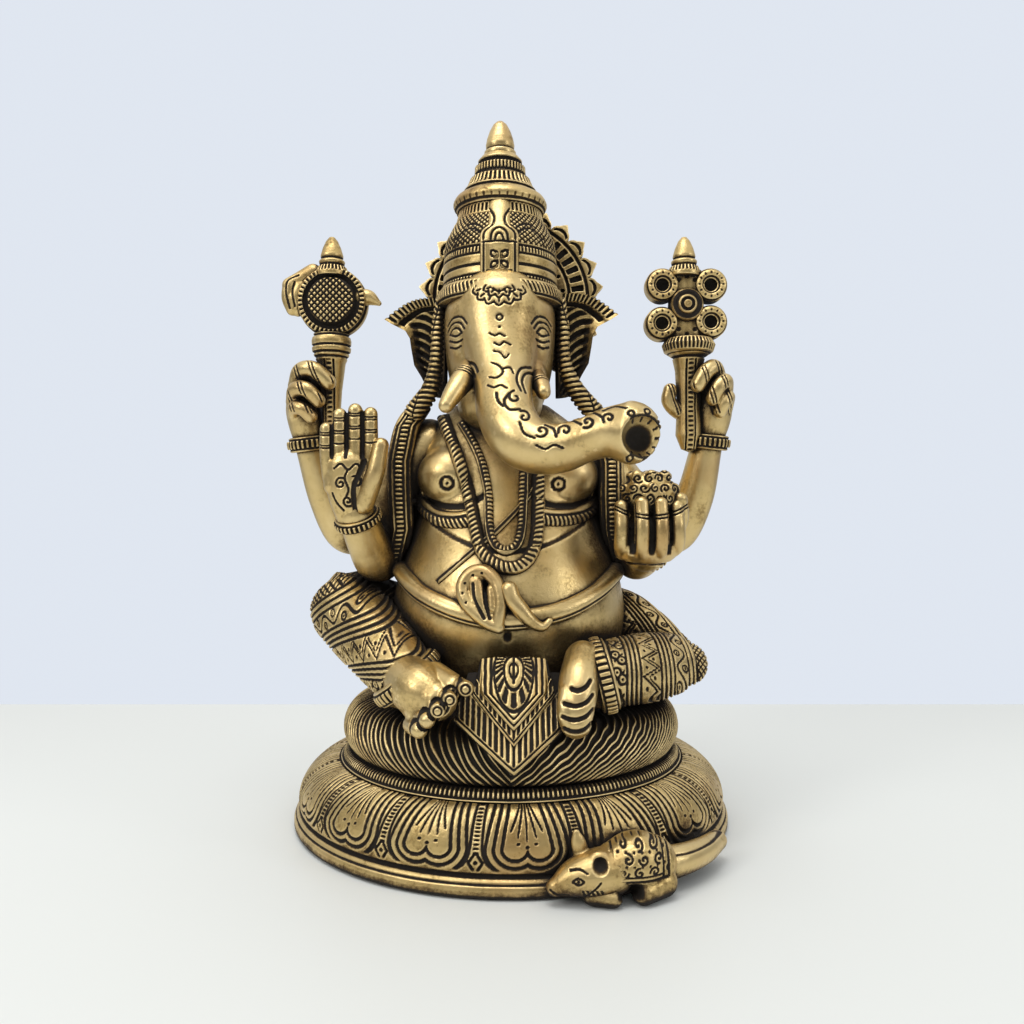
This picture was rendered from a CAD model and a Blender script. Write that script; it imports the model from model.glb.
"""Looks of the seated elephant-headed figure: chased and antiqued cast brass on a pale table.

Shapes are worked out in millimetres and written to Blender in metres. Ornament is cut into the
meshes: each carving function returns how deeply a point is cut, from 0 to 1, and the same value is
kept on the mesh as the "patina" attribute, which holds the dark colour in the recesses.
"""

import math

import bpy
import numpy as np
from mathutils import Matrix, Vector
from mathutils.bvhtree import BVHTree


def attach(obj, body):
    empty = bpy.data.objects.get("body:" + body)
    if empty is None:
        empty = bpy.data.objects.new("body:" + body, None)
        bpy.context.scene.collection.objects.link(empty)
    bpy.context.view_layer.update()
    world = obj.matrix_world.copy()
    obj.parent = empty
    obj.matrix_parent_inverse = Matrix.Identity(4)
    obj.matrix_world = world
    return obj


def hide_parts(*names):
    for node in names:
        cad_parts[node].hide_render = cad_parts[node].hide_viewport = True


MM = 0.001
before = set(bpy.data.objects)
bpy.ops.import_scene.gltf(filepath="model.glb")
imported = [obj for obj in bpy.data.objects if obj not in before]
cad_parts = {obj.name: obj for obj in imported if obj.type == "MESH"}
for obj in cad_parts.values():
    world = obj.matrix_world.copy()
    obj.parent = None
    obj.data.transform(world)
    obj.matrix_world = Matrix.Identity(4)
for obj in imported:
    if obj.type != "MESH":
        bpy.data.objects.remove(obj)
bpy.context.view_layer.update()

# ---------------------------------------------------------------- curves


def smooth(points, step=0.5, closed=False):
    """A Catmull-Rom curve through the points, sampled every step."""
    p = np.asarray(points, float)
    if closed:
        p = np.vstack([p[-1], p, p[0], p[1]])
    else:
        p = np.vstack([2 * p[0] - p[1], p, 2 * p[-1] - p[-2]])
    out = []
    for i in range(1, len(p) - 2):
        count = max(int(np.linalg.norm(p[i + 1][:3] - p[i][:3]) / step), 2)
        t = np.linspace(0, 1, count, endpoint=False)[:, None]
        a, b, c, d = p[i - 1], p[i], p[i + 1], p[i + 2]
        out.append(
            0.5 * (
                2 * b + (c - a) * t + (2 * a - 5 * b + 4 * c - d) * t**2 + (3 * b - a - 3 * c + d) * t**3
            )
        )
    if not closed:
        out.append(p[-2:-1])
    return np.vstack(out)


def straight(points, step=0.4, closed=False):
    """A polyline through the points, sampled about every step, corners kept."""
    p = np.asarray(points, float)
    if closed:
        p = np.vstack([p, p[:1]])
    out = []
    for a, b in zip(p[:-1], p[1:]):
        count = max(int(round(np.linalg.norm(b - a) / step)), 1)
        out.append(a + (b - a) * np.linspace(0, 1, count, endpoint=False)[:, None])
    if not closed:
        out.append(p[-1:])
    return np.vstack(out)


def unit(v):
    return v / np.maximum(np.linalg.norm(v, axis=-1, keepdims=True), 1e-9)


def frames_along(path):
    """A tangent and two side vectors at each point of a path, with no twist."""
    tangent = unit(np.gradient(path, axis=0))
    start = np.array([0.0, 1.0, 0.0]) if abs(tangent[0][1]) < 0.9 else np.array([1.0, 0.0, 0.0])
    side = np.empty_like(tangent)
    last = start
    for i, t in enumerate(tangent):
        last = last - t * np.dot(last, t)
        last = last / np.linalg.norm(last)
        side[i] = last
    return tangent, side, np.cross(tangent, side)


# ---------------------------------------------------------------- closed shapes, as (points, faces)


def grid_faces(rows, columns, close_rows, close_columns):
    r = np.arange(rows if close_rows else rows - 1)
    c = np.arange(columns if close_columns else columns - 1)
    i, j = np.meshgrid(r, c, indexing="ij")
    k, m = (i + 1) % rows, (j + 1) % columns
    return np.stack([i * columns + j, i * columns + m, k * columns + m, k * columns + j], -1).reshape(-1, 4)


def capped(points):
    """Closes a stack of rings, points[ring, place], with a point in the middle of each end."""
    rows, columns = points.shape[:2]
    flat = np.vstack([points.reshape(-1, 3), points[0].mean(0)[None], points[-1].mean(0)[None]])
    j = np.arange(columns)
    m = (j + 1) % columns
    first, last, top = rows * columns, rows * columns + 1, (rows - 1) * columns
    ends = np.vstack([np.stack([m, j, j * 0 + first], -1), np.stack([top + j, top + m, j * 0 + last], -1)])
    return flat, grid_faces(rows, columns, False, True), ends


def tube(points, radii, flat=1.0, sides=28, step=0.8):
    """A round-ended tube through the points, with a radius at each. Flat squeezes it front to back."""
    data = smooth(np.column_stack([points, radii]), step)
    path, radius = data[:, :3], data[:, 3]
    tangent, side, other = frames_along(path)
    swell = np.linspace(math.pi / 2, 0.15, 6)
    head = path[0] - tangent[0] * (np.sin(swell) * radius[0])[:, None]
    tail = path[-1] + tangent[-1] * (np.sin(swell[::-1]) * radius[-1])[:, None]
    path = np.vstack([head, path, tail])
    radius = np.concatenate([np.cos(swell) * radius[0], radius, np.cos(swell[::-1]) * radius[-1]])
    radius = np.maximum(radius, 0.02)
    side = np.vstack([np.repeat(side[:1], 6, 0), side, np.repeat(side[-1:], 6, 0)])
    other = np.vstack([np.repeat(other[:1], 6, 0), other, np.repeat(other[-1:], 6, 0)])
    a = np.linspace(0, 2 * math.pi, sides, endpoint=False)
    ring = flat * np.cos(a)[None, :, None] * side[:, None] + np.sin(a)[None, :, None] * other[:, None]
    return capped(path[:, None] + radius[:, None, None] * ring)


def ball(centre, radii, tilt=0.0, sides=28):
    """An ellipsoid, tilted about Y by tilt degrees."""
    radii = np.ones(3) * radii
    polar = np.linspace(0.08, math.pi - 0.08, sides // 2)
    a = np.linspace(0, 2 * math.pi, sides, endpoint=False)
    x = radii[0] * np.sin(polar)[:, None] * np.cos(a)
    y = radii[1] * np.sin(polar)[:, None] * np.sin(a)
    z = -radii[2] * np.cos(polar)[:, None] * np.ones_like(a)
    t = math.radians(tilt)
    turned_points = np.stack([x * math.cos(t) + z * math.sin(t), y, z * math.cos(t) - x * math.sin(t)], -1)
    return capped(turned_points + np.asarray(centre, float))


def stacked(sections, sides=72):
    """Horizontal ellipses, smoothed together: (height, centre x, centre y, half width, half depth)."""
    s = np.asarray(sections, float)
    data = smooth(s[:, [0, 1, 2, 3, 4]], 1.2)
    a = np.linspace(0, 2 * math.pi, sides, endpoint=False)
    x = data[:, 1:2] + data[:, 3:4] * np.cos(a)
    y = data[:, 2:3] + data[:, 4:5] * np.sin(a)
    return capped(np.stack([x, y, np.repeat(data[:, :1], sides, 1)], -1))


# ---------------------------------------------------------------- carving


def stroke(distance, half_width):
    """A round-bottomed cut at a distance from its line."""
    return np.clip(1 - (distance / half_width) ** 2, 0, 1)


def repeat(value, pitch):
    """Distance to the nearest multiple of the pitch."""
    return np.abs((value / pitch + 0.5) % 1 - 0.5) * pitch


def both(*fields):
    out = fields[0]
    for field in fields[1:]:
        out = np.maximum(out, field)
    return out


def within(value, low, high, edge=0.3):
    """1 between low and high, falling to 0 over the edge."""
    return np.clip((value - low) / edge, 0, 1) * np.clip((high - value) / edge, 0, 1)


def path_distance(u, v, points):
    """Distance in the (u, v) plane to a polyline."""
    best = np.full(u.shape, 1e6)
    p = np.asarray(points, float)
    for (ax, ay), (bx, by) in zip(p[:-1], p[1:]):
        dx, dy = bx - ax, by - ay
        t = np.clip(((u - ax) * dx + (v - ay) * dy) / (dx * dx + dy * dy + 1e-12), 0, 1)
        best = np.minimum(best, (u - ax - t * dx) ** 2 + (v - ay - t * dy) ** 2)
    return np.sqrt(best)


REACH = 3  # how far from a line's box its stroke can still be felt


def drawn(u, v, lines, half_width):
    """Strokes along smooth lines in the (u, v) plane."""
    out = np.zeros(u.shape)
    for line in lines:
        p = np.asarray(line, float)
        (u_low, v_low), (u_high, v_high) = p.min(axis=0) - REACH, p.max(axis=0) + REACH
        near = (u > u_low) & (u < u_high) & (v > v_low) & (v < v_high)
        if near.any():
            curve = smooth(p, 0.8) if len(p) > 2 else p
            out[near] = np.maximum(out[near], stroke(path_distance(u[near], v[near], curve), half_width))
    return out


def dots(u, v, centres, radius):
    out = np.zeros(u.shape)
    for x, y in centres:
        out = np.maximum(out, stroke(np.hypot(u - x, v - y), radius))
    return out


def spiral(x, y, size, turns=1.2, start=0.0, hand=1):
    """The points of a curl that winds in to x, y."""
    t = np.linspace(0, 1, 14)
    a = math.radians(start) + hand * t * turns * 2 * math.pi
    r = size * (1 - 0.82 * t)
    return np.column_stack([x + r * np.cos(a), y + r * np.sin(a)])


# ---------------------------------------------------------------- brass


def add(tree, kind, **settings):
    node = tree.nodes.new(kind)
    for key, value in settings.items():
        if key in node.inputs:
            node.inputs[key].default_value = value
        else:
            setattr(node, key, value)
    return node


def math_node(tree, operation, a, b=None, clamp=False):
    node = tree.nodes.new("ShaderNodeMath")
    node.operation = operation
    node.use_clamp = clamp
    for socket, value in zip(node.inputs, (a, b)):
        if value is None:
            continue
        if isinstance(value, (int, float)):
            socket.default_value = value
        else:
            tree.links.new(value, socket)
    return node.outputs[0]


def mix(tree, factor, a, b):
    node = tree.nodes.new("ShaderNodeMix")
    node.data_type = "RGBA"
    for socket, value in zip((node.inputs[0], node.inputs[6], node.inputs[7]), (factor, a, b)):
        if isinstance(value, (int, float)):
            socket.default_value = value
        elif isinstance(value, tuple):
            socket.default_value = (*value, 1)
        else:
            tree.links.new(value, socket)
    return node.outputs[2]


def spread(tree, value, low, high, to_low=0.0, to_high=1.0):
    node = tree.nodes.new("ShaderNodeMapRange")
    tree.links.new(value, node.inputs[0])
    for socket, number in zip(list(node.inputs)[1:5], (low, high, to_low, to_high)):
        socket.default_value = number
    return node.outputs[0]


BRIGHT = (0.78, 0.60, 0.30)
GOLD = (0.50, 0.34, 0.11)
COPPER = (0.42, 0.22, 0.08)
BRONZE = (0.15, 0.088, 0.034)
SOOT = (0.016, 0.011, 0.007)


def brass(name, polish, grime, near=0.005, far=0.022):
    """Antiqued brass. Polish is how bright the high metal is rubbed, and grime how far dirt spreads.

    Near and far are how many metres a recess reaches, for fine dirt and for the dark between limbs.
    """
    material = bpy.data.materials.new(name)
    material.use_nodes = True
    tree = material.node_tree
    shader = tree.nodes["Principled BSDF"]
    where = add(tree, "ShaderNodeTexCoord").outputs["Object"]

    def noise(scale, detail=3.0, rough=0.55):
        node = add(tree, "ShaderNodeTexNoise", Scale=scale, Detail=detail, Roughness=rough)
        tree.links.new(where, node.inputs["Vector"])
        return node.outputs[0]

    def recess(reach, low, high):
        node = add(tree, "ShaderNodeAmbientOcclusion", samples=8, Distance=reach)
        return spread(tree, node.outputs["AO"], high, low)

    cut = add(tree, "ShaderNodeAttribute", attribute_name="patina").outputs["Fac"]
    blotch = noise(70.0, 4.0, 0.62)
    speck = noise(850.0, 3.0, 0.6)
    pores = noise(2600.0, 2.0, 0.6)
    edge = spread(tree, add(tree, "ShaderNodeNewGeometry").outputs["Pointiness"], 0.5, 0.57)

    dirt = math_node(tree, "MULTIPLY", recess(near, 0.30, 0.86), grime)
    dirt = math_node(tree, "ADD", dirt, math_node(tree, "MULTIPLY", recess(far, 0.10, 0.74), 1.0 * grime))
    dirt = math_node(tree, "ADD", dirt, math_node(tree, "MULTIPLY", cut, 1.2))
    dirt = math_node(tree, "ADD", dirt, spread(tree, blotch, 0.35, 0.72, -0.26 * grime, 0.36 * grime))
    dirt = math_node(tree, "ADD", dirt, spread(tree, speck, 0.3, 0.7, -0.12 * grime, 0.18 * grime))
    dirt = math_node(tree, "SUBTRACT", dirt, math_node(tree, "MULTIPLY", edge, 0.25), clamp=True)
    dirt = spread(tree, dirt, 0.08, 0.70)

    rubbed = spread(tree, blotch, 0.3, 0.7, polish + 0.25, polish - 0.25)
    rubbed = math_node(tree, "ADD", rubbed, math_node(tree, "MULTIPLY", edge, 0.55), clamp=True)
    metal = mix(tree, rubbed, GOLD, BRIGHT)
    metal = mix(tree, spread(tree, noise(38.0, 2.0), 0.54, 0.74, 0.0, 0.45), metal, COPPER)
    metal = mix(tree, spread(tree, dirt, 0.0, 0.5), metal, BRONZE)
    colour = mix(tree, spread(tree, dirt, 0.35, 1.0), metal, SOOT)
    tree.links.new(colour, shader.inputs["Base Color"])

    shine = 0.42 - 0.20 * polish
    rough = math_node(tree, "MULTIPLY", dirt, 0.40)
    rough = math_node(tree, "ADD", spread(tree, speck, 0.3, 0.7, shine, shine + 0.12), rough)
    tree.links.new(rough, shader.inputs["Roughness"])
    tree.links.new(spread(tree, dirt, 0.2, 1.0, 1.0, 0.30), shader.inputs["Metallic"])

    grain = math_node(tree, "MULTIPLY", pores, 0.3)
    grain = math_node(tree, "ADD", math_node(tree, "MULTIPLY", speck, 0.7), grain)
    bump = add(tree, "ShaderNodeBump", Strength=0.25 + 0.25 * grime, Distance=0.0003)
    tree.links.new(grain, bump.inputs["Height"])
    tree.links.new(bump.outputs[0], shader.inputs["Normal"])
    return material


POLISHED = brass("polished_brass", polish=0.60, grime=0.62)
CHASED = brass("chased_brass", polish=0.42, grime=0.85)
DARK = brass("dark_brass", polish=0.25, grime=1.15)

# ---------------------------------------------------------------- pieces

depsgraph = bpy.context.evaluated_depsgraph_get


def write(name, nodes, material, points, quads, tris, patina):
    """Makes a finished piece from millimetre points, and lets it stand for CAD nodes."""
    mesh = bpy.data.meshes.new(name)
    tris = np.zeros((0, 3), int) if tris is None else tris
    mesh.vertices.add(len(points))
    mesh.vertices.foreach_set("co", (np.asarray(points) * MM).ravel())
    loops = np.concatenate([quads.ravel(), tris.ravel()]).astype(np.int32)
    mesh.loops.add(len(loops))
    mesh.loops.foreach_set("vertex_index", loops)
    count = len(quads) + len(tris)
    starts = np.concatenate([np.arange(len(quads)) * 4, len(quads) * 4 + np.arange(len(tris)) * 3])
    mesh.polygons.add(count)
    mesh.polygons.foreach_set("loop_start", starts.astype(np.int32))
    mesh.update(calc_edges=True)
    mesh.validate()
    mesh.shade_smooth()
    mesh.attributes.new("patina", "FLOAT", "POINT").data.foreach_set("value", np.asarray(patina, float))
    mesh.materials.append(material)
    piece = bpy.data.objects.new(name, mesh)
    bpy.context.scene.collection.objects.link(piece)
    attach(piece, "root")
    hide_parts(*nodes)
    return piece


def grid_normals(points, close_rows, close_columns):
    def slope(axis, closed):
        if closed:
            return np.roll(points, -1, axis) - np.roll(points, 1, axis)
        return np.gradient(points, axis=axis)

    return unit(np.cross(slope(1, close_columns), slope(0, close_rows)))


def turned(
    name,
    nodes,
    material,
    outline,
    carve=None,
    depth=0.8,
    x=0.0,
    y=0.0,
    sides=720,
    step=0.42,
    closed=False,
):
    """A piece turned about a vertical axis from (radius, height) or (radius, height, centre y) points.

    An open outline runs from the axis at the bottom to the axis at the top. Carve takes the angle
    from the front, the distance along the outline, the radius and the height.
    """
    line = np.asarray(outline, float)
    if line.shape[1] == 2:
        line = np.column_stack([line, np.full(len(line), y)])
    line = straight(line, step, closed)
    along = np.concatenate([[0], np.cumsum(np.linalg.norm(np.diff(line[:, :2], axis=0), axis=1))])
    if not closed:
        line[:, 0] = np.maximum(line[:, 0], 0.02)
    a = np.linspace(-math.pi, math.pi, sides, endpoint=False)
    radius, height, centre = (line[:, i : i + 1] for i in range(3))
    points = np.stack(
        [x + radius * np.sin(a), centre - radius * np.cos(a), np.repeat(height, sides, 1)], -1
    )
    normals = grid_normals(points, closed, True)
    field = np.zeros(points.shape[:2])
    if carve is not None:
        field = carve(a[None, :], along[:, None], radius, height) * np.ones_like(field)
    points = points - normals * (depth * field)[..., None]
    if closed:
        faces, tris, flat = grid_faces(len(line), sides, True, True), None, points.reshape(-1, 3)
        field = field.ravel()
    else:
        flat, faces, tris = capped(points)
        field = np.concatenate([field.ravel(), field[0].mean()[None], field[-1].mean()[None]])
    return write(name, nodes, material, flat, faces, tris, field)


def cast(name, nodes, material, shapes, carve=None, depth=0.7, voxel=0.55, relax=6, press=None):
    """A piece melted together from closed shapes, pressed by moving its points, then carved.

    Press and carve take points and normals. Press returns moved points.
    """
    vertices, faces, start = [], [], 0
    for points, quads, tris in shapes:
        vertices.append(points)
        faces += [tuple(f) for f in (quads + start).tolist()] + [tuple(f) for f in (tris + start).tolist()]
        start += len(points)
    rough_mesh = bpy.data.meshes.new("rough")
    rough_mesh.from_pydata((np.vstack(vertices) * MM).tolist(), [], faces)
    rough = bpy.data.objects.new("rough", rough_mesh)
    bpy.context.scene.collection.objects.link(rough)
    melt = rough.modifiers.new("melt", "REMESH")
    melt.mode = "VOXEL"
    melt.voxel_size = voxel * MM
    even = rough.modifiers.new("even", "SMOOTH")
    even.factor = 0.5
    even.iterations = relax
    done = bpy.data.meshes.new_from_object(rough.evaluated_get(depsgraph()))
    bpy.data.objects.remove(rough)
    count = len(done.vertices)
    points = np.empty(count * 3)
    done.vertices.foreach_get("co", points)
    points = points.reshape(-1, 3) / MM
    normals = np.empty(count * 3)
    done.vertices.foreach_get("normal", normals)
    normals = normals.reshape(-1, 3)
    sizes = np.empty(len(done.polygons), np.int32)
    done.polygons.foreach_get("loop_total", sizes)
    loops = np.empty(len(done.loops), np.int32)
    done.loops.foreach_get("vertex_index", loops)
    starts = np.concatenate([[0], np.cumsum(sizes)[:-1]])
    quads = loops[starts[sizes == 4][:, None] + np.arange(4)]
    tris = loops[starts[sizes == 3][:, None] + np.arange(3)] if (sizes == 3).any() else None
    bpy.data.meshes.remove(done)
    field = np.zeros(count)
    if carve is not None:
        field = np.clip(carve(points, normals), -1, 1)
    if press is not None:
        points = press(points, normals)
    points = points - normals * (depth * field)[:, None]
    return write(name, nodes, material, points, quads, tris, np.clip(field, 0, 1))


def surface_of(*pieces):
    """A tree to find where rays meet the pieces, in metres."""
    points, faces, start = [], [], 0
    for piece in pieces:
        points += [v.co.copy() for v in piece.data.vertices]
        faces += [tuple(i + start for i in p.vertices) for p in piece.data.polygons]
        start = len(points)
    return BVHTree.FromPolygons(points, faces)


def laid(tree, x, z, from_y=-0.2):
    """Where lines from the front at x and z meet the surface: points and normals in millimetres."""
    points, normals = np.empty((*x.shape, 3)), np.empty((*x.shape, 3))
    last = (Vector((0, -20 * MM, 0)), Vector((0, -1, 0)))
    for index in np.ndindex(x.shape):
        hit, normal, _, _ = tree.ray_cast(Vector((x[index] * MM, from_y, z[index] * MM)), Vector((0, 1, 0)))
        if hit is None:
            hit, normal = Vector((x[index] * MM, last[0].y, z[index] * MM)), last[1]
        last = (hit, normal)
        points[index] = np.array(hit) / MM
        normals[index] = np.array(normal)
    return points, normals


def soften(values, passes, axis=0):
    """Averages along one axis, ends kept."""
    out = values.copy()
    for _ in range(passes):
        middle = (np.roll(out, 1, axis) + 2 * out + np.roll(out, -1, axis)) / 4
        keep = [slice(None)] * out.ndim
        keep[axis] = slice(1, -1)
        out[tuple(keep)] = middle[tuple(keep)]
    return out


def ribbon(
    name,
    nodes,
    material,
    tree,
    path,
    half_width,
    rise,
    carve=None,
    depth=0.6,
    sink=1.2,
    square=6,
    step=0.42,
):
    """A strap laid on a surface along (x, z) points. Carve takes distance along and across."""
    line = smooth(path, step)
    along = np.concatenate([[0], np.cumsum(np.linalg.norm(np.diff(line, axis=0), axis=1))])
    direction = unit(np.gradient(line, axis=0))
    widths = np.atleast_1d(np.asarray(half_width, float))
    width = np.interp(np.linspace(0, 1, len(along)), np.linspace(0, 1, len(widths)), widths)
    columns = max(int(2 * width.max() / step), 6)
    across = np.linspace(-1, 1, columns)
    x = line[:, :1] - direction[:, 1:] * across * width[:, None]
    z = line[:, 1:] + direction[:, :1] * across * width[:, None]
    base, normals = laid(tree, x, z)
    base[..., 1] = soften(soften(base[..., 1], 6, 0), 3, 1)
    normals = unit(soften(normals, 8, 0))
    crown = np.sqrt(np.clip(1 - 0.94 * np.abs(across) ** square, 0, 1))[None, :]
    field = np.zeros(x.shape)
    if carve is not None:
        field = carve(along[:, None] + 0 * x, (across * width[:, None])) * np.ones_like(field)
    ends = np.clip(np.minimum(along, along[-1] - along) / 1.5, 0, 1)[:, None]
    top = base + normals * ((rise * crown * ends) - depth * field * ends)[..., None]
    under = base - normals * sink
    points = np.concatenate([top, under[:, ::-1]], axis=1)
    field = np.concatenate([field, np.ones_like(field)], axis=1)
    flat, faces, tris = capped(points)
    patina = np.concatenate([field.ravel(), [1.0, 1.0]])
    return write(name, nodes, material, flat, faces[:, ::-1], tris[:, ::-1], patina)


# ---------------------------------------------------------------- base

PETALS = 16
PETAL_TURN = math.radians(3.65)
PETAL_WIDTH = 2 * math.pi * 87.0 / PETALS


def lotus(angle, along, radius, height):
    """Heart-shaped petals in triple outline, with veins and dots, and a beaded strip between them."""
    u = ((angle - PETAL_TURN) / (2 * math.pi) * PETALS + 0.5) % 1 - 0.5
    a = np.abs(u) * PETAL_WIDTH
    s = np.clip((height - 7.5) / 21.5, -1, 1.2)
    s = 31.0 * (0.55 * s + 0.45 * s * s)  # distance up the curved side of the dome
    lobe, lobe_height = 4.1, 9.4
    reach = np.hypot(a - lobe, np.minimum(s - lobe_height, 0))
    drift = lobe * (1 - 0.012 * (s - lobe_height))
    reach = np.where(s > lobe_height, np.abs(a - drift) + 0.06 * (s - lobe_height), reach)
    hearts = both(*[stroke(reach - d, 0.72) for d in (4.4, 7.2, 10.0)])
    hearts = hearts * ((a > lobe) | (s < lobe_height)) * (s > 0.8)
    fan = np.degrees(np.arctan2(a, np.maximum(38.0 - s, 1.0)))
    taper = np.clip((s - 13.5) / 9.0, 0, 1)
    veins = both(
        stroke(fan, 0.4 + 0.9 * taper) * within(s, 12.5, 40, 1.0),
        stroke(fan - 7.6, 0.4 + 1.1 * taper) * within(s, 14.0, 40, 1.0),
        stroke(fan - 15.0, 0.4 + 1.2 * taper) * within(s, 17.0, 40, 1.0),
    )
    spots = both(stroke(np.hypot(a, s - 10.4), 0.8), stroke(np.hypot(a - 3.0, s - 11.8), 0.75))
    gap = PETAL_WIDTH / 2 - a
    flank = stroke(gap - 1.9 - 4.6 * np.exp(-(s - 1.5) / 2.6), 0.6) * (s > 1.5)
    beads = stroke(gap, 1.3) * stroke(repeat(s, 1.9), 0.62) * within(s, 7.0, 40)
    diamond = both(stroke(gap + 0.62 * np.abs(s - 4.0) - 2.4, 0.6), stroke(np.hypot(gap, s - 4.0), 0.8))
    petals = both(hearts, veins, spots, flank, beads, diamond * (s < 8)) * within(height, 8.9, 40, 0.6)
    step = both(stroke(height - 7.3, 0.55), 0.8 * stroke(height - 5.2, 0.4)) * (radius > 84)
    top = within(height, 28.2, 30, 0.5) * (radius < 70)
    return np.where((height > 0.5) & (radius > 60), both(petals * (radius > 66), step, 0.9 * top), 0.35)


DOME = [
    (88.2, 8.6, -0.2), (88.4, 11.5, -0.6), (87.2, 16.0, -1.7), (84.2, 20.6, -3.5), (79.5, 24.8, -6.2),
    (74.0, 27.7, -8.8), (69.0, 29.0, -11.0),
]
base_outline = [
    (81.5, 0.0, 0.0),
    (88.6, 0.0, 0.0),
    (89.8, 0.5, 0.0),
    (90.4, 1.6, 0.0),
    (90.4, 3.4, 0.0),
    (89.9, 5.0, 0.0),
    (88.9, 6.2, 0.0),
    (88.2, 6.9, 0.0),
    (87.9, 7.7, 0.0),
    *[tuple(p) for p in smooth(DOME, 1.2)],
    (52.0, 29.0, -12.0),
    (50.0, 28.0, -12.0),
    (50.0, 25.0, -12.0),
    (68.0, 24.0, -8.0),
    (80.5, 14.0, -1.5),
]
turned("lotus_base_brass", ["lotus_base"], CHASED, base_outline, lotus, depth=0.9, sides=1500, closed=True)


def bead_row(angle, along, radius, height):
    bars = stroke(repeat(angle * 68.0, 2 * math.pi * 68.0 / 250), 0.62) * within(height, 29.9, 33, 0.25)
    return both(bars * (radius > 65.6), stroke(height - 29.9, 0.3) * (radius > 66), 0.9 * (radius < 65.4))


turned(
    "bead_ring_brass",
    ["bead_ring"],
    CHASED,
    [
        (60, 28.6), (69.0, 28.6), (69.5, 29.1), (69.2, 29.7), (68.6, 29.9), (68.5, 30.6),
        (67.8, 31.8), (66.2, 32.6), (60, 32.8),
    ],
    bead_row,
    depth=0.8,
    y=-11.0,
    sides=2000,
    step=0.3,
    closed=True,
)

RIB_PITCH = 3.0


def ribs(angle, along, radius, height):
    """Slanted plaits that lean in to the front from both sides, more steeply on the left."""
    slant = 0.85 + 0.65 * np.clip(angle / 0.8, -0.3, 1.0)
    lean = slant * (height - 31.0) + 1.2 * np.sin((height - 31.0) / 21.0 * math.pi)
    lean = lean + 0.35 * np.sin(angle * 23.0) + 0.25 * np.sin(angle * 61.0 + height * 0.2)
    phase = np.abs(angle) * 66.0 - lean
    cut = np.abs((phase / RIB_PITCH) % 1 - 0.5) * 2  # 1 in the groove, 0 on the rib
    cut = np.clip((cut - 0.12) / 0.62, 0, 1) ** 1.2
    return np.where(radius > 52, cut * (0.35 + 0.65 * within(height, 31.5, 54.2, 2.0)), 0.6) * (height > 31)


PILLOW = [
    (62.0, 31.8), (65.6, 34.2), (67.9, 38.6), (68.2, 43.0), (66.6, 47.6), (63.0, 51.4), (57.0, 53.6),
    (50.0, 54.2),
]
cushion_outline = [
    (0, 49.0),
    (36, 49.0),
    (50, 45.0),
    (50, 31.8),
    *[tuple(p) for p in smooth(PILLOW, 1.0)],
    (0, 54.2),
]
turned("cushion_brass", ["cushion"], CHASED, cushion_outline, ribs, depth=1.3, y=-12.0, sides=1500)

# ---------------------------------------------------------------- torso

TORSO = [
    (53.0, 0.0, -13.0, 34.0, 29.0),
    (58.0, 0.0, -13.5, 40.0, 34.5),
    (66.0, -0.3, -15.0, 44.5, 39.5),
    (77.0, -0.8, -16.0, 46.6, 43.5),
    (90.0, -1.0, -17.0, 47.0, 45.0),
    (105.0, -1.0, -17.0, 44.0, 41.0),
    (118.0, -1.0, -16.0, 40.0, 35.5),
    (130.0, -1.0, -14.0, 37.5, 31.5),
    (142.0, -1.5, -12.5, 38.5, 30.0),
    (152.0, -2.0, -11.5, 38.0, 27.0),
    (162.0, -3.0, -11.5, 30.0, 22.0),
    (171.0, -4.0, -13.0, 19.0, 17.0),
]
NAVEL = (-1.2, 82.0)
NIPPLES = ((-24.5, 138.0), (18.2, 137.6))


def torso_marks(p, n):
    x, z = p[:, 0], p[:, 2]
    front = n[:, 1] < -0.1
    navel = stroke(np.hypot(x - NAVEL[0], (z - NAVEL[1]) * 0.8), 1.7)
    rings = np.zeros(len(p))
    for cx, cz in NIPPLES:
        r = np.hypot(x - cx, z - cz)
        rings = both(rings, stroke(r - 2.4, 0.6), stroke(r, 0.7))
    fold = both(
        0.55 * stroke(z - 112.5 - 0.012 * (x + 1) ** 2, 1.1) * (np.abs(x + 1) < 30),
        0.9 * stroke(
            path_distance(x, z, smooth([(-37, 134), (-29, 130.0), (-18, 129.4), (-9, 134)], 1.5)),
            1.3,
        ),
        0.9 * stroke(
            path_distance(x, z, smooth([(35, 134), (27, 130.0), (15, 129.8), (7, 134)], 1.5)),
            1.3,
        ),
    )
    return both(navel, rings, fold) * front


torso_shapes = [
    stacked(TORSO),
    ball((-22.5, -28.5, 141.0), (15.0, 13.5, 12.5)),
    ball((20.0, -28.5, 141.0), (15.0, 13.5, 12.5)),
]
torso = cast("torso_brass", ["torso"], POLISHED, torso_shapes, torso_marks, depth=1.0, voxel=0.8, relax=12)
body = surface_of(torso)

# ---------------------------------------------------------------- legs


def limb_frame(p, start, end):
    """Distance along a limb, and round it in degrees, 0 facing the viewer."""
    a, b = np.asarray(start, float), np.asarray(end, float)
    axis = (b - a) / np.linalg.norm(b - a)
    front = np.array([0.0, -1.0, 0.0])
    front = front - axis * front.dot(axis)
    front /= np.linalg.norm(front)
    side = np.cross(axis, front)
    d = p - a
    along = d @ axis
    return along, np.degrees(np.arctan2(d @ side, d @ front))


def rings(s, low, pitch, count):
    return both(*[stroke(s - low - i * pitch, 0.42) for i in range(count)])


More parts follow.
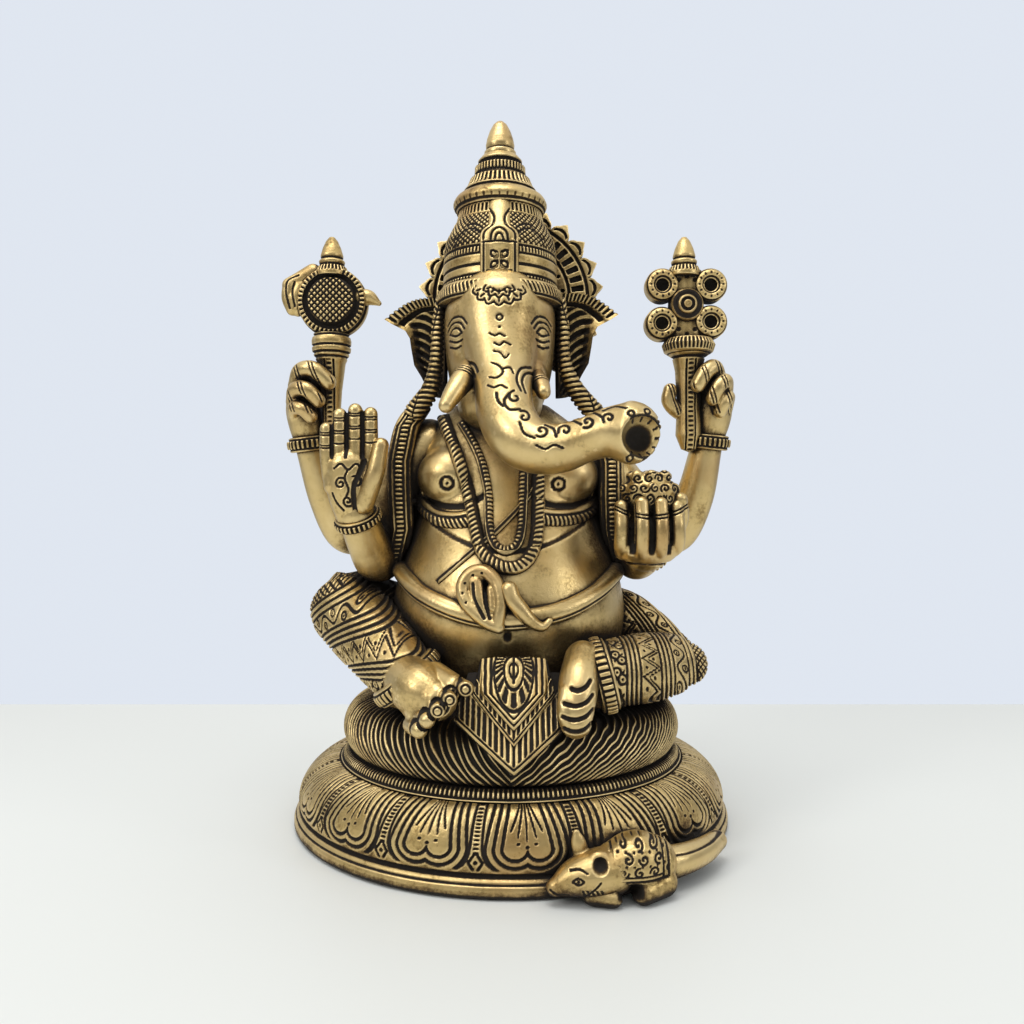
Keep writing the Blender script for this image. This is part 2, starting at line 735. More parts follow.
def curls(s, turn, middle, size, count, radius):
    """A row of rolled curls round a limb."""
    arc = (turn / 360 * count) % 1 - 0.5
    u = arc * 2 * math.pi * radius / count
    v = s - middle
    lean = u * 0.8 + 0.0
    return both(
        stroke(np.hypot(u - 1.7, v - 0.25 * size) - 0.42 * size, 0.5),
        stroke(np.hypot(u + 1.7, v + 0.25 * size) - 0.42 * size, 0.5),
        stroke(v - lean, 0.45) * (np.abs(u) < 2.2),
        stroke(np.hypot(u - 1.7, v - 0.25 * size), 0.5),
        stroke(np.hypot(u + 1.7, v + 0.25 * size), 0.5),
    )


def printed_cloth(s, round_, bulge):
    """Bands of block-printed trouser cloth. S runs down from the knee's tip, and round_ round the leg."""
    s = s - 0.010 * bulge * round_ * round_
    arc_a = repeat(round_ + 3.1, 12.4)
    arc_b = repeat(round_ - 3.1, 12.4)
    wave_line = stroke(s - 13.6 - 2.1 * np.sin(round_ * 2 * math.pi / 12.4), 0.62)
    wave_eyes = both(
        stroke(np.hypot(arc_a, s - 15.0) - 1.2, 0.4), stroke(np.hypot(arc_b, s - 12.2) - 1.2, 0.4),
        stroke(np.hypot(arc_a, s - 15.0), 0.5), stroke(np.hypot(arc_b, s - 12.2), 0.5),
    )
    tooth = repeat(round_, 7.4)
    teeth = both(
        stroke(s - 31.2 + 1.62 * tooth, 0.55),
        stroke(s - 29.2 + 1.62 * tooth, 0.45) * (s < 28.6),
        stroke(np.hypot(tooth, s - 26.4), 0.7),
        stroke(np.hypot(tooth - 3.7, s - 29.6), 0.7),
    )
    u = (round_ / 7.6 + 0.5) % 1 * 7.6 - 3.8
    v = s - 41.0
    curls = both(
        stroke(np.hypot(u + 1.3, v + 1.2) - 1.75, 0.55) * ((u < -0.4) | (v < -1.2)),
        stroke(np.hypot(u - 1.3, v - 1.2) - 1.75, 0.55) * ((u > 0.4) | (v > 1.2)),
        stroke(np.hypot(u + 1.3, v + 1.2), 0.6),
        stroke(np.hypot(u - 1.3, v - 1.2), 0.6),
        stroke(u + 0.9 * v, 0.6) * (np.abs(v) < 1.9),
    )
    lines = both(*[stroke(s - place, 0.58) for place in (
        5.8, 8.0, 10.2, 17.2, 19.2, 21.2, 23.2, 32.2, 34.1, 36.0, 37.9, 44.4, 46.2)])
    weave = both(stroke(repeat(round_ + s, 2.6), 0.5), stroke(repeat(round_ - s, 2.6), 0.5)) * (s < 5.2)
    return both(
        lines,
        both(wave_line, 0.8 * wave_eyes) * within(s, 10.6, 16.8, 0.2),
        teeth * within(s, 23.8, 31.8, 0.2),
        curls * within(s, 38.3, 44.0, 0.2),
        0.8 * weave,
    )


RIGHT_KNEE, RIGHT_ANKLE = (-66.0, -20.0, 87.5), (-38.5, -57.5, 67.5)
LEFT_KNEE, LEFT_ANKLE = (66.0, -25.0, 66.5), (32.5, -61.0, 68.5)
RIGHT_SHIN = unit(np.array([0.62, 0.0, -0.78]))  # the way its bands are wound, as seen from the front
LEFT_SHIN = unit(np.array([-0.95, 0.0, -0.24]))


def wound(p, knee, shin):
    """Distance along a shin from its knee, and across it, both as seen from the front."""
    d = p - np.asarray(knee)
    return d @ shin, d[:, 0] * shin[2] - d[:, 2] * shin[0] + 0.55 * d[:, 1]


def right_print(p, n):
    s, across = wound(p, RIGHT_KNEE, RIGHT_SHIN)
    return printed_cloth(s + 15.0, across, 0.6)


def left_print(p, n):
    s, across = wound(p, LEFT_KNEE, LEFT_SHIN)
    return printed_cloth(s * 1.12 + 13.6, across, 0.9)


right_leg_shapes = [
    tube([(-24, -12, 74), (-46, -14, 81), (-62, -18, 88.0)], [17, 16, 15.0]),
    tube([(-64.5, -19, 88.0), RIGHT_KNEE, (-52, -39, 77.5), RIGHT_ANKLE], [14.6, 15.6, 14.6, 12.0]),
]
left_leg_shapes = [
    tube([(26, -14, 80), (43, -13, 80.5), (54, -17, 76), (64, -23, 68.5)], [17, 15.4, 12.8, 10.6]),
    tube([(70.0, -24.5, 66.0), (64, -27, 66.5), (50, -42, 67.5), LEFT_ANKLE], [9.0, 12.2, 13.4, 12.0]),
]
cast("right_leg_brass", ["right_leg"], CHASED, right_leg_shapes, right_print, depth=0.85, voxel=0.5)
cast("left_leg_brass", ["left_leg"], CHASED, left_leg_shapes, left_print, depth=0.85, voxel=0.5)


def hoop(name, nodes, centre, axis, radius, width, beads=34, deep=1.0, material=CHASED, depth=0.9):
    """A beaded ring round a limb. Deep stretches it along the limb's thicker way, towards the viewer."""
    centre, axis = np.asarray(centre, float), unit(np.asarray(axis, float))
    side = np.array([0.0, 1.0, 0.0])
    side = unit(side - axis * side.dot(axis))
    other = np.cross(axis, side)
    turn = np.linspace(0, 2 * math.pi, 420, endpoint=False)
    round_ = np.linspace(0, 2 * math.pi, 56, endpoint=False)
    out = np.where(np.cos(round_) > 0, 0.40, 0.85) * width * np.cos(round_)
    rise = 0.54 * width * np.sign(np.sin(round_)) * np.abs(np.sin(round_)) ** 0.7
    ring = deep * np.cos(turn)[:, None] * side + np.sin(turn)[:, None] * other
    outward = unit(ring)
    points = centre + (radius - 0.3 * width) * ring[:, None] + out[None, :, None] * outward[:, None]
    points = points + axis * rise[None, :, None]
    normals = grid_normals(points, True, True)
    inward = (normals * (out[None, :, None] * outward[:, None])).sum(-1).mean() < 0
    if inward:
        normals = -normals
    cuts = stroke(repeat(turn * radius, 2 * math.pi * radius / beads), 0.62)[:, None]
    band = np.abs(rise)[None, :] < 0.33 * width
    edges = stroke(np.abs(rise) - 0.38 * width, 0.5)[None, :]
    field = both(cuts * band, edges + 0 * cuts) * (np.cos(round_) > -0.1)
    points = points - normals * (depth * field)[..., None]
    faces = grid_faces(420, 56, True, True)
    if inward:
        faces = faces[:, ::-1]
    return write(name, nodes, material, points.reshape(-1, 3), faces, None, field.ravel())


hoop("right_anklet_brass", ["right_anklet"], (-37.6, -57.5, 66.9), RIGHT_SHIN, 13.6, 6.2, 36, 1.25)
hoop("left_anklet_brass", ["left_anklet"], (33.0, -60.0, 68.2), LEFT_SHIN, 13.4, 6.2, 36, 1.25)

# ---------------------------------------------------------------- feet

RIGHT_TOES = [
    (-14.9, -85.4, 68.6, 2.7),
    (-20.0, -86.6, 65.3, 2.55),
    (-24.0, -86.8, 61.7, 2.6),
    (-27.6, -86.0, 58.2, 2.75),
    (-30.4, -84.4, 54.6, 2.9),
]


def right_nails(p, n):
    out = np.zeros(len(p))
    for i, (x, y, z, r) in enumerate(RIGHT_TOES):
        away = np.hypot(p[:, 0] - x, p[:, 2] - z)
        out = both(out, stroke(away - 0.62 * r, 0.45) * (n[:, 1] < -0.6) * (i < 3))
        out = both(out, 0.9 * stroke(away - r - 0.55, 0.6) * (p[:, 1] > y - 1.5) * (away < r + 1))
    return out


right_foot_shapes = [
    tube([(-37, -62, 67.0), (-31, -71, 65.0), (-25.5, -76, 63.0)], [9.4, 9.8, 7.4]),
    tube([(-35, -66, 61.5), (-31.0, -75, 58.5)], [6.0, 5.2]),
    tube([(-27, -68, 68.5), (-19.5, -77.0, 67.5)], [6.0, 4.4]),
    *[tube([(x - 3.6, y + 9.5, z - 0.6), (x, y, z)], [r + 0.2, r]) for x, y, z, r in RIGHT_TOES],
]
cast(
    "right_foot_brass",
    ["right_foot"],
    POLISHED,
    right_foot_shapes,
    right_nails,
    depth=0.8,
    voxel=0.4,
    relax=2,
)


def left_toes(p, n):
    lines = [
        [(27.0, 70.0), (25.2, 68.3), (22.4, 67.4), (20.4, 67.8)],
        [(27.6, 65.4), (25.4, 63.6), (21.4, 62.5), (17.8, 63.2)],
        [(27.6, 60.6), (25.0, 58.8), (20.8, 57.9), (17.2, 58.8)],
        [(27.0, 56.0), (24.6, 54.5), (20.8, 53.8), (17.8, 54.6)],
    ]
    return drawn(p[:, 0], p[:, 2], lines, 1.0) * (n[:, 1] < 0.2)


left_foot_shapes = [
    tube([(25.5, -66, 75), (23.6, -73, 69), (22.4, -78.0, 62), (22.0, -79.5, 55.8)], [6.6, 7.0, 6.4, 5.4]),
    tube([(19.5, -78.5, 66), (18.8, -81, 60), (20.0, -81.0, 55.0)], [3.2, 3.4, 3.2]),
]
cast("left_foot_brass", ["left_foot"], POLISHED, left_foot_shapes, left_toes, depth=1.1, voxel=0.4, relax=3)

# ---------------------------------------------------------------- hanging cloth

CLOTH_TOP = np.array([1.0, -65.0, 76.0])
CLOTH_DOWN = unit(np.array([0.0, -19.5, -36.5]))
CLOTH_OUT = np.cross(CLOTH_DOWN, [1.0, 0.0, 0.0])


def panel(name, nodes, half_width, top, side, tip, lift, thickness, carve, bow=0.0, narrow=0.86):
    """A panel that ends in a point. Side and tip are how far down its corners and point are."""
    across = np.linspace(-1, 1, int(4.6 * half_width))
    bottom = tip - (tip - side) * np.abs(across) ** 1.05
    down = np.linspace(0, 1, int(2.4 * (tip - top)))
    t = top + (bottom - top) * down[:, None]
    a = np.repeat(across[None] * half_width, len(down), 0)
    a = a * (narrow + (1 - narrow) * np.clip(t / side, 0, 1))
    field = carve(a, t, bottom[None] - t)
    edge = np.minimum(np.minimum(bottom[None] - t, half_width - np.abs(a)), 1.6) / 1.6
    crown = lift + thickness * np.clip(0.35 + 0.65 * edge, 0, 1) ** 0.5 - bow * (a / half_width) ** 2
    points = CLOTH_TOP + a[..., None] * [1.0, 0.0, 0.0] + t[..., None] * CLOTH_DOWN
    front = points + (crown - 0.8 * field)[..., None] * CLOTH_OUT
    back = points + (lift - 1.2 - bow * (a / half_width) ** 2)[..., None] * CLOTH_OUT
    rows, columns = a.shape
    quads = grid_faces(rows, columns, False, False)
    count = rows * columns
    border = np.concatenate(
        [
            np.arange(columns),
            (np.arange(1, rows)) * columns + columns - 1,
            (rows - 1) * columns + np.arange(columns - 2, -1, -1),
            np.arange(rows - 2, 0, -1) * columns,
        ]
    )
    nxt = np.roll(border, -1)
    walls = np.stack([border, border + count, nxt + count, nxt], -1)
    faces = np.vstack([quads[:, ::-1], quads + count, walls])
    flat = np.vstack([front.reshape(-1, 3), back.reshape(-1, 3)])
    return write(name, nodes, CHASED, flat, faces, None, np.concatenate([field.ravel(), np.ones(count)]))


def fringe(a, t, rise):
    """A V-shaped fringe: long threads under a plain fold."""
    threads = stroke(repeat(a, 2.0), 0.62) * within(rise, 2.2, 12.0, 0.5)
    return both(threads, stroke(rise - 1.5, 0.5), stroke(rise - 13.0, 0.7), 0.9 * (rise > 13.6))


def band(a, t, rise):
    """A hatched border in a V."""
    hatch = stroke(repeat(a, 1.6), 0.5) * within(rise, 1.9, 5.6, 0.3)
    return both(hatch, stroke(rise - 1.2, 0.45), stroke(rise - 6.6, 0.6), 0.9 * (rise > 7.4))


def tongue(a, t, rise):
    """A leaf inside feathered rows, with a pointed double hem."""
    leaf = np.hypot(a * 1.35, (t - 6.5) * np.where(t > 6.5, 0.62, 1.0))
    rows = both(stroke(leaf - 2.0, 0.4), stroke(leaf - 4.6, 0.5), stroke(leaf - 9.2, 0.55))
    turn = np.degrees(np.arctan2(a, t - 3.0))
    feather = stroke(repeat(turn, 13.0) * 0.11, 0.5) * within(leaf, 5.2, 8.6, 0.3)
    stalk = stroke(a, 0.5) * within(t, 2.0, 12.0, 0.5)
    inset = np.minimum(rise, 11.4 - np.abs(a))
    hem = both(stroke(inset - 1.5, 0.5), stroke(inset - 3.6, 0.55))
    return both(rows * (inset > 3.8), feather * (inset > 4.0), 0.9 * stalk, hem)


panel("lower_cloth_brass", ["lower_cloth"], 20.6, 6.0, 22.6, 41.6, -0.4, 2.4, fringe, 2.6, 0.7)
panel("middle_cloth_brass", ["lower_cloth"], 14.2, 2.0, 14.6, 32.4, 1.4, 2.2, band, 1.8, 0.8)
panel("upper_cloth_brass", ["upper_cloth"], 12.2, 2.0, 13.4, 27.6, 3.0, 2.4, tongue, 2.6, 0.9)

# ---------------------------------------------------------------- arms

REAR_RIGHT = [
    (-30, -6, 154), (-44, -4.5, 143), (-60, -4, 122), (-69, -8, 118.5), (-76, -13, 133),
    (-81.5, -17, 152),
]
REAR_LEFT = [(28, -6, 152), (44, -4.5, 141), (60, -4, 122), (69, -8, 118.5), (76, -13, 133), (80, -17, 153)]
FRONT_RIGHT = [
    (-34, -15, 154), (-44, -18, 140), (-51, -20, 116), (-53, -26, 108), (-56, -33, 115),
    (-59, -41, 126),
]
FRONT_LEFT = [
    (32, -15, 151), (43, -18, 137), (47.5, -19, 116), (49.5, -24, 108.5), (51.0, -33, 109.5),
    (52, -42, 114),
]
ARM = [11.5, 10.8, 9.0, 8.6, 7.8, 6.4]

cast("rear_right_arm_brass", ["rear_right_arm"], POLISHED, [tube(REAR_RIGHT, ARM)], None, voxel=0.6)
cast("rear_left_arm_brass", ["rear_left_arm"], POLISHED, [tube(REAR_LEFT, ARM)], None, voxel=0.6)
cast(
    "front_right_arm_brass",
    ["front_right_arm"],
    POLISHED,
    [tube(FRONT_RIGHT, [11.5, 11, 9.4, 9.2, 8.2, 7.2])],
    None,
    voxel=0.6,
)
cast(
    "front_left_arm_brass",
    ["front_left_arm"],
    POLISHED,
    [tube(FRONT_LEFT, [11.5, 11, 8.8, 8.2, 7.8, 7.2])],
    None,
    voxel=0.6,
)

hoop("rear_right_cuff_brass", ["rear_right_cuff"], (-82.4, -17.8, 155.0), (-0.12, -0.1, 1), 8.6, 5.6, 28)
hoop("rear_left_cuff_brass", ["rear_left_cuff"], (80.6, -17.8, 155.8), (0.10, -0.1, 1), 8.6, 5.6, 28)
hoop("front_right_cuff_brass", ["front_right_cuff"], (-58.7, -40.0, 124.4), (-0.25, -0.55, 1), 9.0, 4.2, 30)
hoop("front_left_cuff_brass", ["front_left_cuff"], (51.8, -40.0, 112.6), (0.05, -0.8, 0.5), 9.0, 4.2, 30)

# ---------------------------------------------------------------- hands


def finger(points, radius, taper=0.92):
    return tube(points, [radius * taper ** (i * 0.6) for i in range(len(points))], sides=20, step=0.5)


FIST = [
    tube(
        [(-82.2, -17.5, 156), (-83.4, -18.0, 163), (-84.4, -18.5, 170), (-83.0, -19, 177)],
        [6.4, 7.4, 7.4, 6.4],
    ),
    finger(
        [(-86.6, -21.5, 178.0), (-83.6, -27.0, 183.0), (-78.0, -29.8, 183.2), (-72.6, -28.6, 178.6)],
        3.8,
    ),
    finger(
        [(-87.6, -22.0, 171.6), (-85.4, -28.0, 175.6), (-80.4, -31.0, 175.2), (-76.4, -29.6, 171.2)],
        3.5,
    ),
    finger(
        [(-87.4, -21.0, 165.6), (-86.2, -26.8, 168.4), (-82.6, -29.6, 167.8), (-79.4, -28.6, 164.8)],
        3.1,
    ),
]
LEFT_FIST = [
    tube(
        [(80.8, -17.5, 157), (82.0, -18.0, 164), (82.8, -18.5, 170), (82.0, -19, 177)],
        [6.2, 7.4, 7.4, 6.2],
    ),
    finger([(84.0, -21.5, 180.4), (80.8, -27.4, 184.4), (76.8, -30.2, 182.0), (74.0, -29.8, 177.4)], 3.6),
    finger([(86.6, -21.5, 175.4), (85.2, -27.4, 179.0), (82.0, -30.0, 176.6), (80.0, -29.4, 172.0)], 3.4),
    finger([(87.0, -20.5, 169.0), (86.8, -25.6, 173.0), (84.8, -28.4, 170.8), (83.2, -27.8, 167.0)], 3.1),
    finger([(75.0, -19.5, 165.5), (67.6, -22.5, 167.6), (63.6, -23.5, 171.6), (64.0, -24.0, 176.0)], 3.3),
]


def finger_joints(p, n):
    """Short double creases over the bends of the fingers."""
    crease = stroke(repeat(p[:, 0] + 0.35 * p[:, 2], 7.0) - 0.7, 0.4)
    return 0.7 * crease * (n[:, 1] < -0.55) * (p[:, 2] > 166)


cast(
    "rear_right_hand_brass",
    ["rear_right_hand"],
    POLISHED,
    FIST,
    finger_joints,
    depth=0.5,
    voxel=0.4,
    relax=2,
)
cast(
    "rear_left_hand_brass",
    ["rear_left_hand"],
    POLISHED,
    LEFT_FIST,
    finger_joints,
    depth=0.5,
    voxel=0.4,
    relax=2,
)

OPEN_FINGERS = [(-69.4, 161.0, 2.7), (-64.3, 166.4, 2.95), (-58.5, 168.2, 3.0), (-52.7, 166.8, 2.9)]


def palm_marks(p, n):
    x, z = p[:, 0], p[:, 2]
    front = n[:, 1] < -0.2
    creases = np.zeros(len(p))
    for cx, tip, r in OPEN_FINGERS:
        on = np.abs(x - cx) < 2.8
        for drop in (4.4, 5.4, 9.2, 10.2, 14.0):
            creases = both(creases, 0.8 * stroke(z - (tip - drop) - 0.05 * (x - cx) ** 2, 0.34) * on)
    creases = creases * (z > 147.5)
    gaps = both(*[stroke(x - g, 0.8) * within(z, 146.5, 165, 1.0) for g in (-67.0, -61.5, -55.6)])
    lines = [
        spiral(-63.4, 137.6, 2.3, 1.2, 60, 1),
        spiral(-57.6, 138.2, 2.3, 1.2, 120, -1),
        spiral(-60.8, 131.0, 2.1, 1.2, 300, -1),
        [(-65.8, 143.2), (-63.2, 145.0), (-60.4, 142.6), (-57.6, 145.0), (-55.4, 143.0)],
        [(-60.6, 142.4), (-61.8, 139.6), (-60.4, 135.4), (-61.6, 132.0)],
        [(-66.8, 134.0), (-65.2, 130.4), (-62.6, 127.6)],
    ]
    fold = drawn(
        x,
        z,
        [[(-54.8, 146.0), (-56.4, 141.4), (-58.4, 136.4), (-58.6, 131.0), (-58.2, 127.6)]],
        1.1,
    )
    return both(creases, gaps, drawn(x, z, lines, 0.46), fold) * front


open_hand = [
    tube([(-59.6, -42.0, 125), (-60.6, -44.0, 134), (-61.4, -45.0, 143)], [7.0, 8.8, 8.6], flat=0.7),
    tube([(-67.0, -45.0, 137), (-67.4, -45.0, 144)], [3.8, 3.4]),
    *[
        finger([(x * 0.9 - 6.2, -45.0, 140), (x, -46.4, 149), (x, -46.6, tip - r)], r)
        for x, tip, r in OPEN_FINGERS
    ],
    finger([(-55.4, -46.5, 130.0), (-50.8, -49.0, 141), (-48.6, -48.4, 151.8)], 4.0, 0.8),
]
cast(
    "front_right_hand_brass",
    ["front_right_hand"],
    POLISHED,
    open_hand,
    palm_marks,
    depth=0.6,
    voxel=0.4,
    relax=2,
)

CUPPED = [(40.6, -56.4, 1.2), (47.4, -60.2, 0.0), (54.4, -60.2, 0.2), (60.8, -56.4, 1.4)]


def cupped_marks(p, n):
    x, z = p[:, 0], p[:, 2]
    gaps = both(*[stroke(x - g, 1.15) for g in (44.0, 50.9, 57.6)]) * within(z, 111.0, 131.0, 1.2)
    joints = 0.7 * both(*[stroke(z - h - 0.02 * (x - 51) ** 2, 0.4) for h in (124.6, 125.8)])
    heel = 0.9 * stroke(z - 107.4 - 0.012 * (x - 51) ** 2, 0.6)
    return both(gaps, joints, heel) * (n[:, 1] < 0.1)


def cupped_finger(x, y, d):
    root = (x * 0.86 + 7.0, y + 9, 110.6 + d)
    return finger([root, (x, y + 2.0, 113.4 + d), (x, y, 121.0), (x, y + 2.4, 130.0 - d)], 2.9, 0.97)


cupped_hand = [
    tube([(50, -40, 112), (51, -46, 114), (51.5, -50, 119)], [7.6, 9.6, 9.6]),
    ball((50.8, -50.5, 113.6), (11.6, 9.4, 7.0)),
    *[cupped_finger(x, y, d) for x, y, d in CUPPED],
    finger([(62.0, -44, 118), (63.6, -49, 125), (62.4, -53, 131.6)], 3.0),
]
cast(
    "front_left_hand_brass",
    ["front_left_hand"],
    POLISHED,
    cupped_hand,
    cupped_marks,
    depth=1.1,
    voxel=0.4,
    relax=2,
)


def sweet_marks(p, n):
    """Fine filigree curls all over the sweet."""
    x, z = p[:, 0], p[:, 2]
    lines = []
    for row in range(5):
        for place in range(6):
            cx = 40.6 + 3.9 * place + 1.95 * (row % 2)
            cz = 128.2 + 3.7 * row
            lines.append(spiral(cx, cz, 1.75, 1.15, 70 * row + 110 * place, 1 if (row + place) % 2 else -1))
    return drawn(x, z, lines, 0.42) * (n[:, 1] < 0.2)


sweet_shapes = [ball((51.6, -49.4, 133.0), (10.4, 9.2, 9.6))]
for count, radius, height in ((7, 6.4, 140.2), (9, 9.0, 135.4)):
    for i in range(count):
        a = 2 * math.pi * i / count
        sweet_shapes.append(
            ball((51.6 + radius * math.sin(a), -49.4 - radius * 0.86 * math.cos(a), height), 2.4)
        )
cast("sweet_brass", ["sweet"], CHASED, sweet_shapes, sweet_marks, depth=0.55, voxel=0.4, relax=2)

# ---------------------------------------------------------------- axe and lotus bud

STAFF_Y = -22.0
AXE_X, BUD_X = -72.0, 70.6


def medallion(name, nodes, centre, outline, carve, material=CHASED, depth=0.7, sides=360):
    """A round plate that faces the viewer, turned about Y from (radius, forward) points."""
    line = straight(outline, 0.35)
    line[:, 0] = np.maximum(line[:, 0], 0.02)
    a = np.linspace(0, 2 * math.pi, sides, endpoint=False)
    r, f = line[:, :1], line[:, 1:]
    points = np.stack(
        [centre[0] + r * np.cos(a), centre[1] - f * np.ones_like(a), centre[2] + r * np.sin(a)],
        -1,
    )
    normals = grid_normals(points, False, True)
    field = carve(a[None], r, f) * np.ones(points.shape[:2])
    points = points + normals * (-depth * field)[..., None] * (1 if normals[0, 0, 1] > 0 else -1)
    flat, faces, tris = capped(points)
    patina = np.concatenate([field.ravel(), [field[0].mean(), field[-1].mean()]])
    if normals[0, 0, 1] < 0:
        faces, tris = faces[:, ::-1], tris[:, ::-1]
    return write(name, nodes, material, flat, faces, tris, patina)


def axe_face(a, r, f):
    u, v = r * np.cos(a), r * np.sin(a)
    rim = stroke(repeat(a * 12.0, 2 * math.pi * 12.0 / 44), 0.55) * within(r, 11.6, 13.6, 0.25)
    ring = both(stroke(r - 10.4, 1.4), stroke(r - 14.0, 0.3))
    hatch = both(stroke(repeat(u + v, 2.5), 0.66), stroke(repeat(u - v, 2.5), 0.66)) * (r < 9.4)
    return both(rim, ring, 0.95 * hatch) * (f > 0)


medallion(
    "axe_disc_brass",
    ["axe_disc"],
    (AXE_X, STAFF_Y, 211.6),
    [
        (0, -5.6), (9.2, -5.6), (9.8, -4.6), (13.0, -4.4), (14.0, -3.0), (14.0, 3.0), (13.2, 4.4),
        (11.2, 4.6), (10.5, 3.4), (9.8, 4.8), (8.6, 5.8), (5.0, 6.2), (0, 6.4),
    ],
    axe_face,
)


def staff_marks(angle, along, radius, height):
    """Collar rings at the top, and a beaded stripe down the front and back."""
    arc = angle * np.maximum(radius, 2.0)
    stripe = both(stroke(np.abs(arc) - 1.9, 0.45), stroke(arc, 1.2) * stroke(repeat(height, 1.9), 0.5))
    hatch = stroke(repeat(angle * 9.5, 1.5), 0.46) * within(height, 191.8, 196.4, 0.3) * (radius > 8.4)
    collars = both(
        *[stroke(height - place, 0.45) for place in (198.0, 193.8, 191.0, 189.2)]
    ) * (radius < 8.4)
    return both(stripe * (height < 188), hatch, collars)


turned(
    "axe_shaft_brass",
    ["axe_shaft"],
    CHASED,
    [
        (0, 151.4), (2.2, 152), (3.2, 160), (4.2, 176), (5.6, 187), (6.8, 189.6), (7.7, 192),
        (7.9, 196), (7.2, 198.6), (0, 199),
    ],
    staff_marks,
    x=AXE_X - 0.6,
    y=STAFF_Y,
    sides=180,
)
turned(
    "bud_shaft_brass",
    ["bud_shaft"],
    CHASED,
    [
        (0, 151.2), (3.0, 152.4), (5.2, 158), (4.7, 170), (5.4, 184), (6.6, 189.5), (9.8, 191.6),
        (10.7, 194.3), (9.4, 196.6), (0, 197),
    ],
    staff_marks,
    x=BUD_X + 1.2,
    y=STAFF_Y,
    sides=180,
)


def bud_marks(angle, along, radius, height):
    hatch = stroke(repeat(angle * 5.0, 1.2), 0.4) * within(height, 223.6, 226.0, 0.2)
    return both(stroke(height - 226.4, 0.45), stroke(height - 229.2, 0.5), 0.9 * hatch)


for side, x in (("axe", AXE_X - 0.4), ("bud", BUD_X - 0.6)):
    turned(
        f"{side}_finial_brass",
        [f"{side}_finial"],
        CHASED,
        [
            (0, 222), (6.4, 222), (6.5, 224), (5.7, 226.0), (4.9, 226.6), (5.2, 228.0),
            (4.6, 229.2), (4.5, 230.6), (3.7, 233.4), (2.4, 236.4), (1.1, 238.0), (0, 238.3),
        ],
        bud_marks,
        x=x,
        y=STAFF_Y,
        sides=150,
    )


def blade_marks(p, n):
    u, v = p[:, 0] - AXE_X, p[:, 2] - 211.6
    lines = [
        [(-13.2, 10.4), (-17.4, 8.6), (-18.4, 4.0), (-16.9, -2.8)],
        [(-14.8, 7.6), (-15.8, 4.0), (-14.8, -2.0)],
    ]
    return drawn(u, v, lines, 0.5) * (np.abs(n[:, 1]) > 0.3)


blade_shapes = [
    tube(
        [(AXE_X - 8, STAFF_Y, 224.0), (AXE_X - 13.5, STAFF_Y, 220.6), (AXE_X - 17.4, STAFF_Y, 218.6)],
        [3.4, 3.4, 3.2],
    ),
    tube(
        [(AXE_X - 17.2, STAFF_Y, 218.6), (AXE_X - 17.9, STAFF_Y, 213.6), (AXE_X - 16.4, STAFF_Y, 209.0)],
        [3.2, 2.9, 2.6],
    ),
    tube(
        [(AXE_X - 12.8, STAFF_Y, 218.0), (AXE_X - 14.6, STAFF_Y, 213.0), (AXE_X - 14.2, STAFF_Y, 208.6)],
        [3.6, 3.6, 2.6],
    ),
]
cast("axe_blade_brass", ["axe_blade"], CHASED, blade_shapes, blade_marks, depth=0.6, voxel=0.4, relax=3)
cast(
    "axe_spike_brass",
    ["axe_disc"],
    CHASED,
    [
        tube(
            [(AXE_X + 11, STAFF_Y, 213.4), (AXE_X + 14.6, STAFF_Y, 213.6), (AXE_X + 18.6, STAFF_Y, 211.4)],
            [3.6, 3.2, 1.1],
        )
    ],
    None,
    voxel=0.4,
    relax=2,
)

RING_OFFSETS = [(-9.8, 8.0), (9.6, 8.0), (-10.0, -7.4), (9.6, -6.8)]


def ring_face(a, r, f):
    around = repeat(a * 4.7, 2 * math.pi * 4.7 / 12)
    return both(
        stroke(np.hypot(around, r - 4.7), 0.6),
        stroke(r - 3.2, 0.35),
        1.0 * (r < 2.5),
        stroke(r - 6.3, 0.3),
    ) * (f > 0)


for i, (dx, dz) in enumerate(RING_OFFSETS):
    medallion(
        f"bud_ring_{i}_brass",
        ["bud_rings"],
        (BUD_X + dx, STAFF_Y, 210.2 + dz),
        [
            (0, -4.0), (5.6, -4.0), (6.7, -2.6), (6.7, 2.4), (6.0, 3.8), (4.8, 4.4), (3.5, 4.0),
            (2.5, 2.8), (2.2, 0.8), (0, 0.4),
        ],
        ring_face,
        sides=160,
        depth=0.5,
    )


def boss_face(a, r, f):
    return both(stroke(r - 5.0, 1.3), stroke(r - 2.2, 0.6)) * (f > 0)


medallion(
    "bud_boss_brass",
    ["bud_body"],
    (BUD_X, STAFF_Y, 210.2),
    [
        (0, -4.6), (5.8, -4.6), (6.6, -3.4), (6.6, 3.6), (6.0, 4.8), (4.8, 5.2), (4.2, 4.6),
        (3.2, 5.4), (2.4, 4.8), (1.4, 5.6), (0, 5.6),
    ],
    boss_face,
    sides=200,
    depth=0.5,
)


def bud_plate_marks(p, n):
    u, v = p[:, 0] - BUD_X, p[:, 2] - 210.2
    holes = dots(u, v, [(-3.3, 10.2), (3.3, 10.2), (0, 12.0), (-3.3, -9.8), (3.3, -9.8), (0, -12.0)], 1.0)
    edge = stroke(np.abs(u) - 5.6, 0.4) * (np.abs(v) > 8)
    return both(holes, 0.7 * edge) * (n[:, 1] < -0.3)


bud_plate = [
    tube(
        [(BUD_X + u, STAFF_Y, 197.5), (BUD_X + u, STAFF_Y, 222.6)],
        [2.9, 2.9],
        sides=16,
    ) for u in (-4.2, -1.4, 1.4, 4.2)
]
cast("bud_plate_brass", ["bud_body"], CHASED, bud_plate, bud_plate_marks, depth=0.6, voxel=0.4, relax=2)

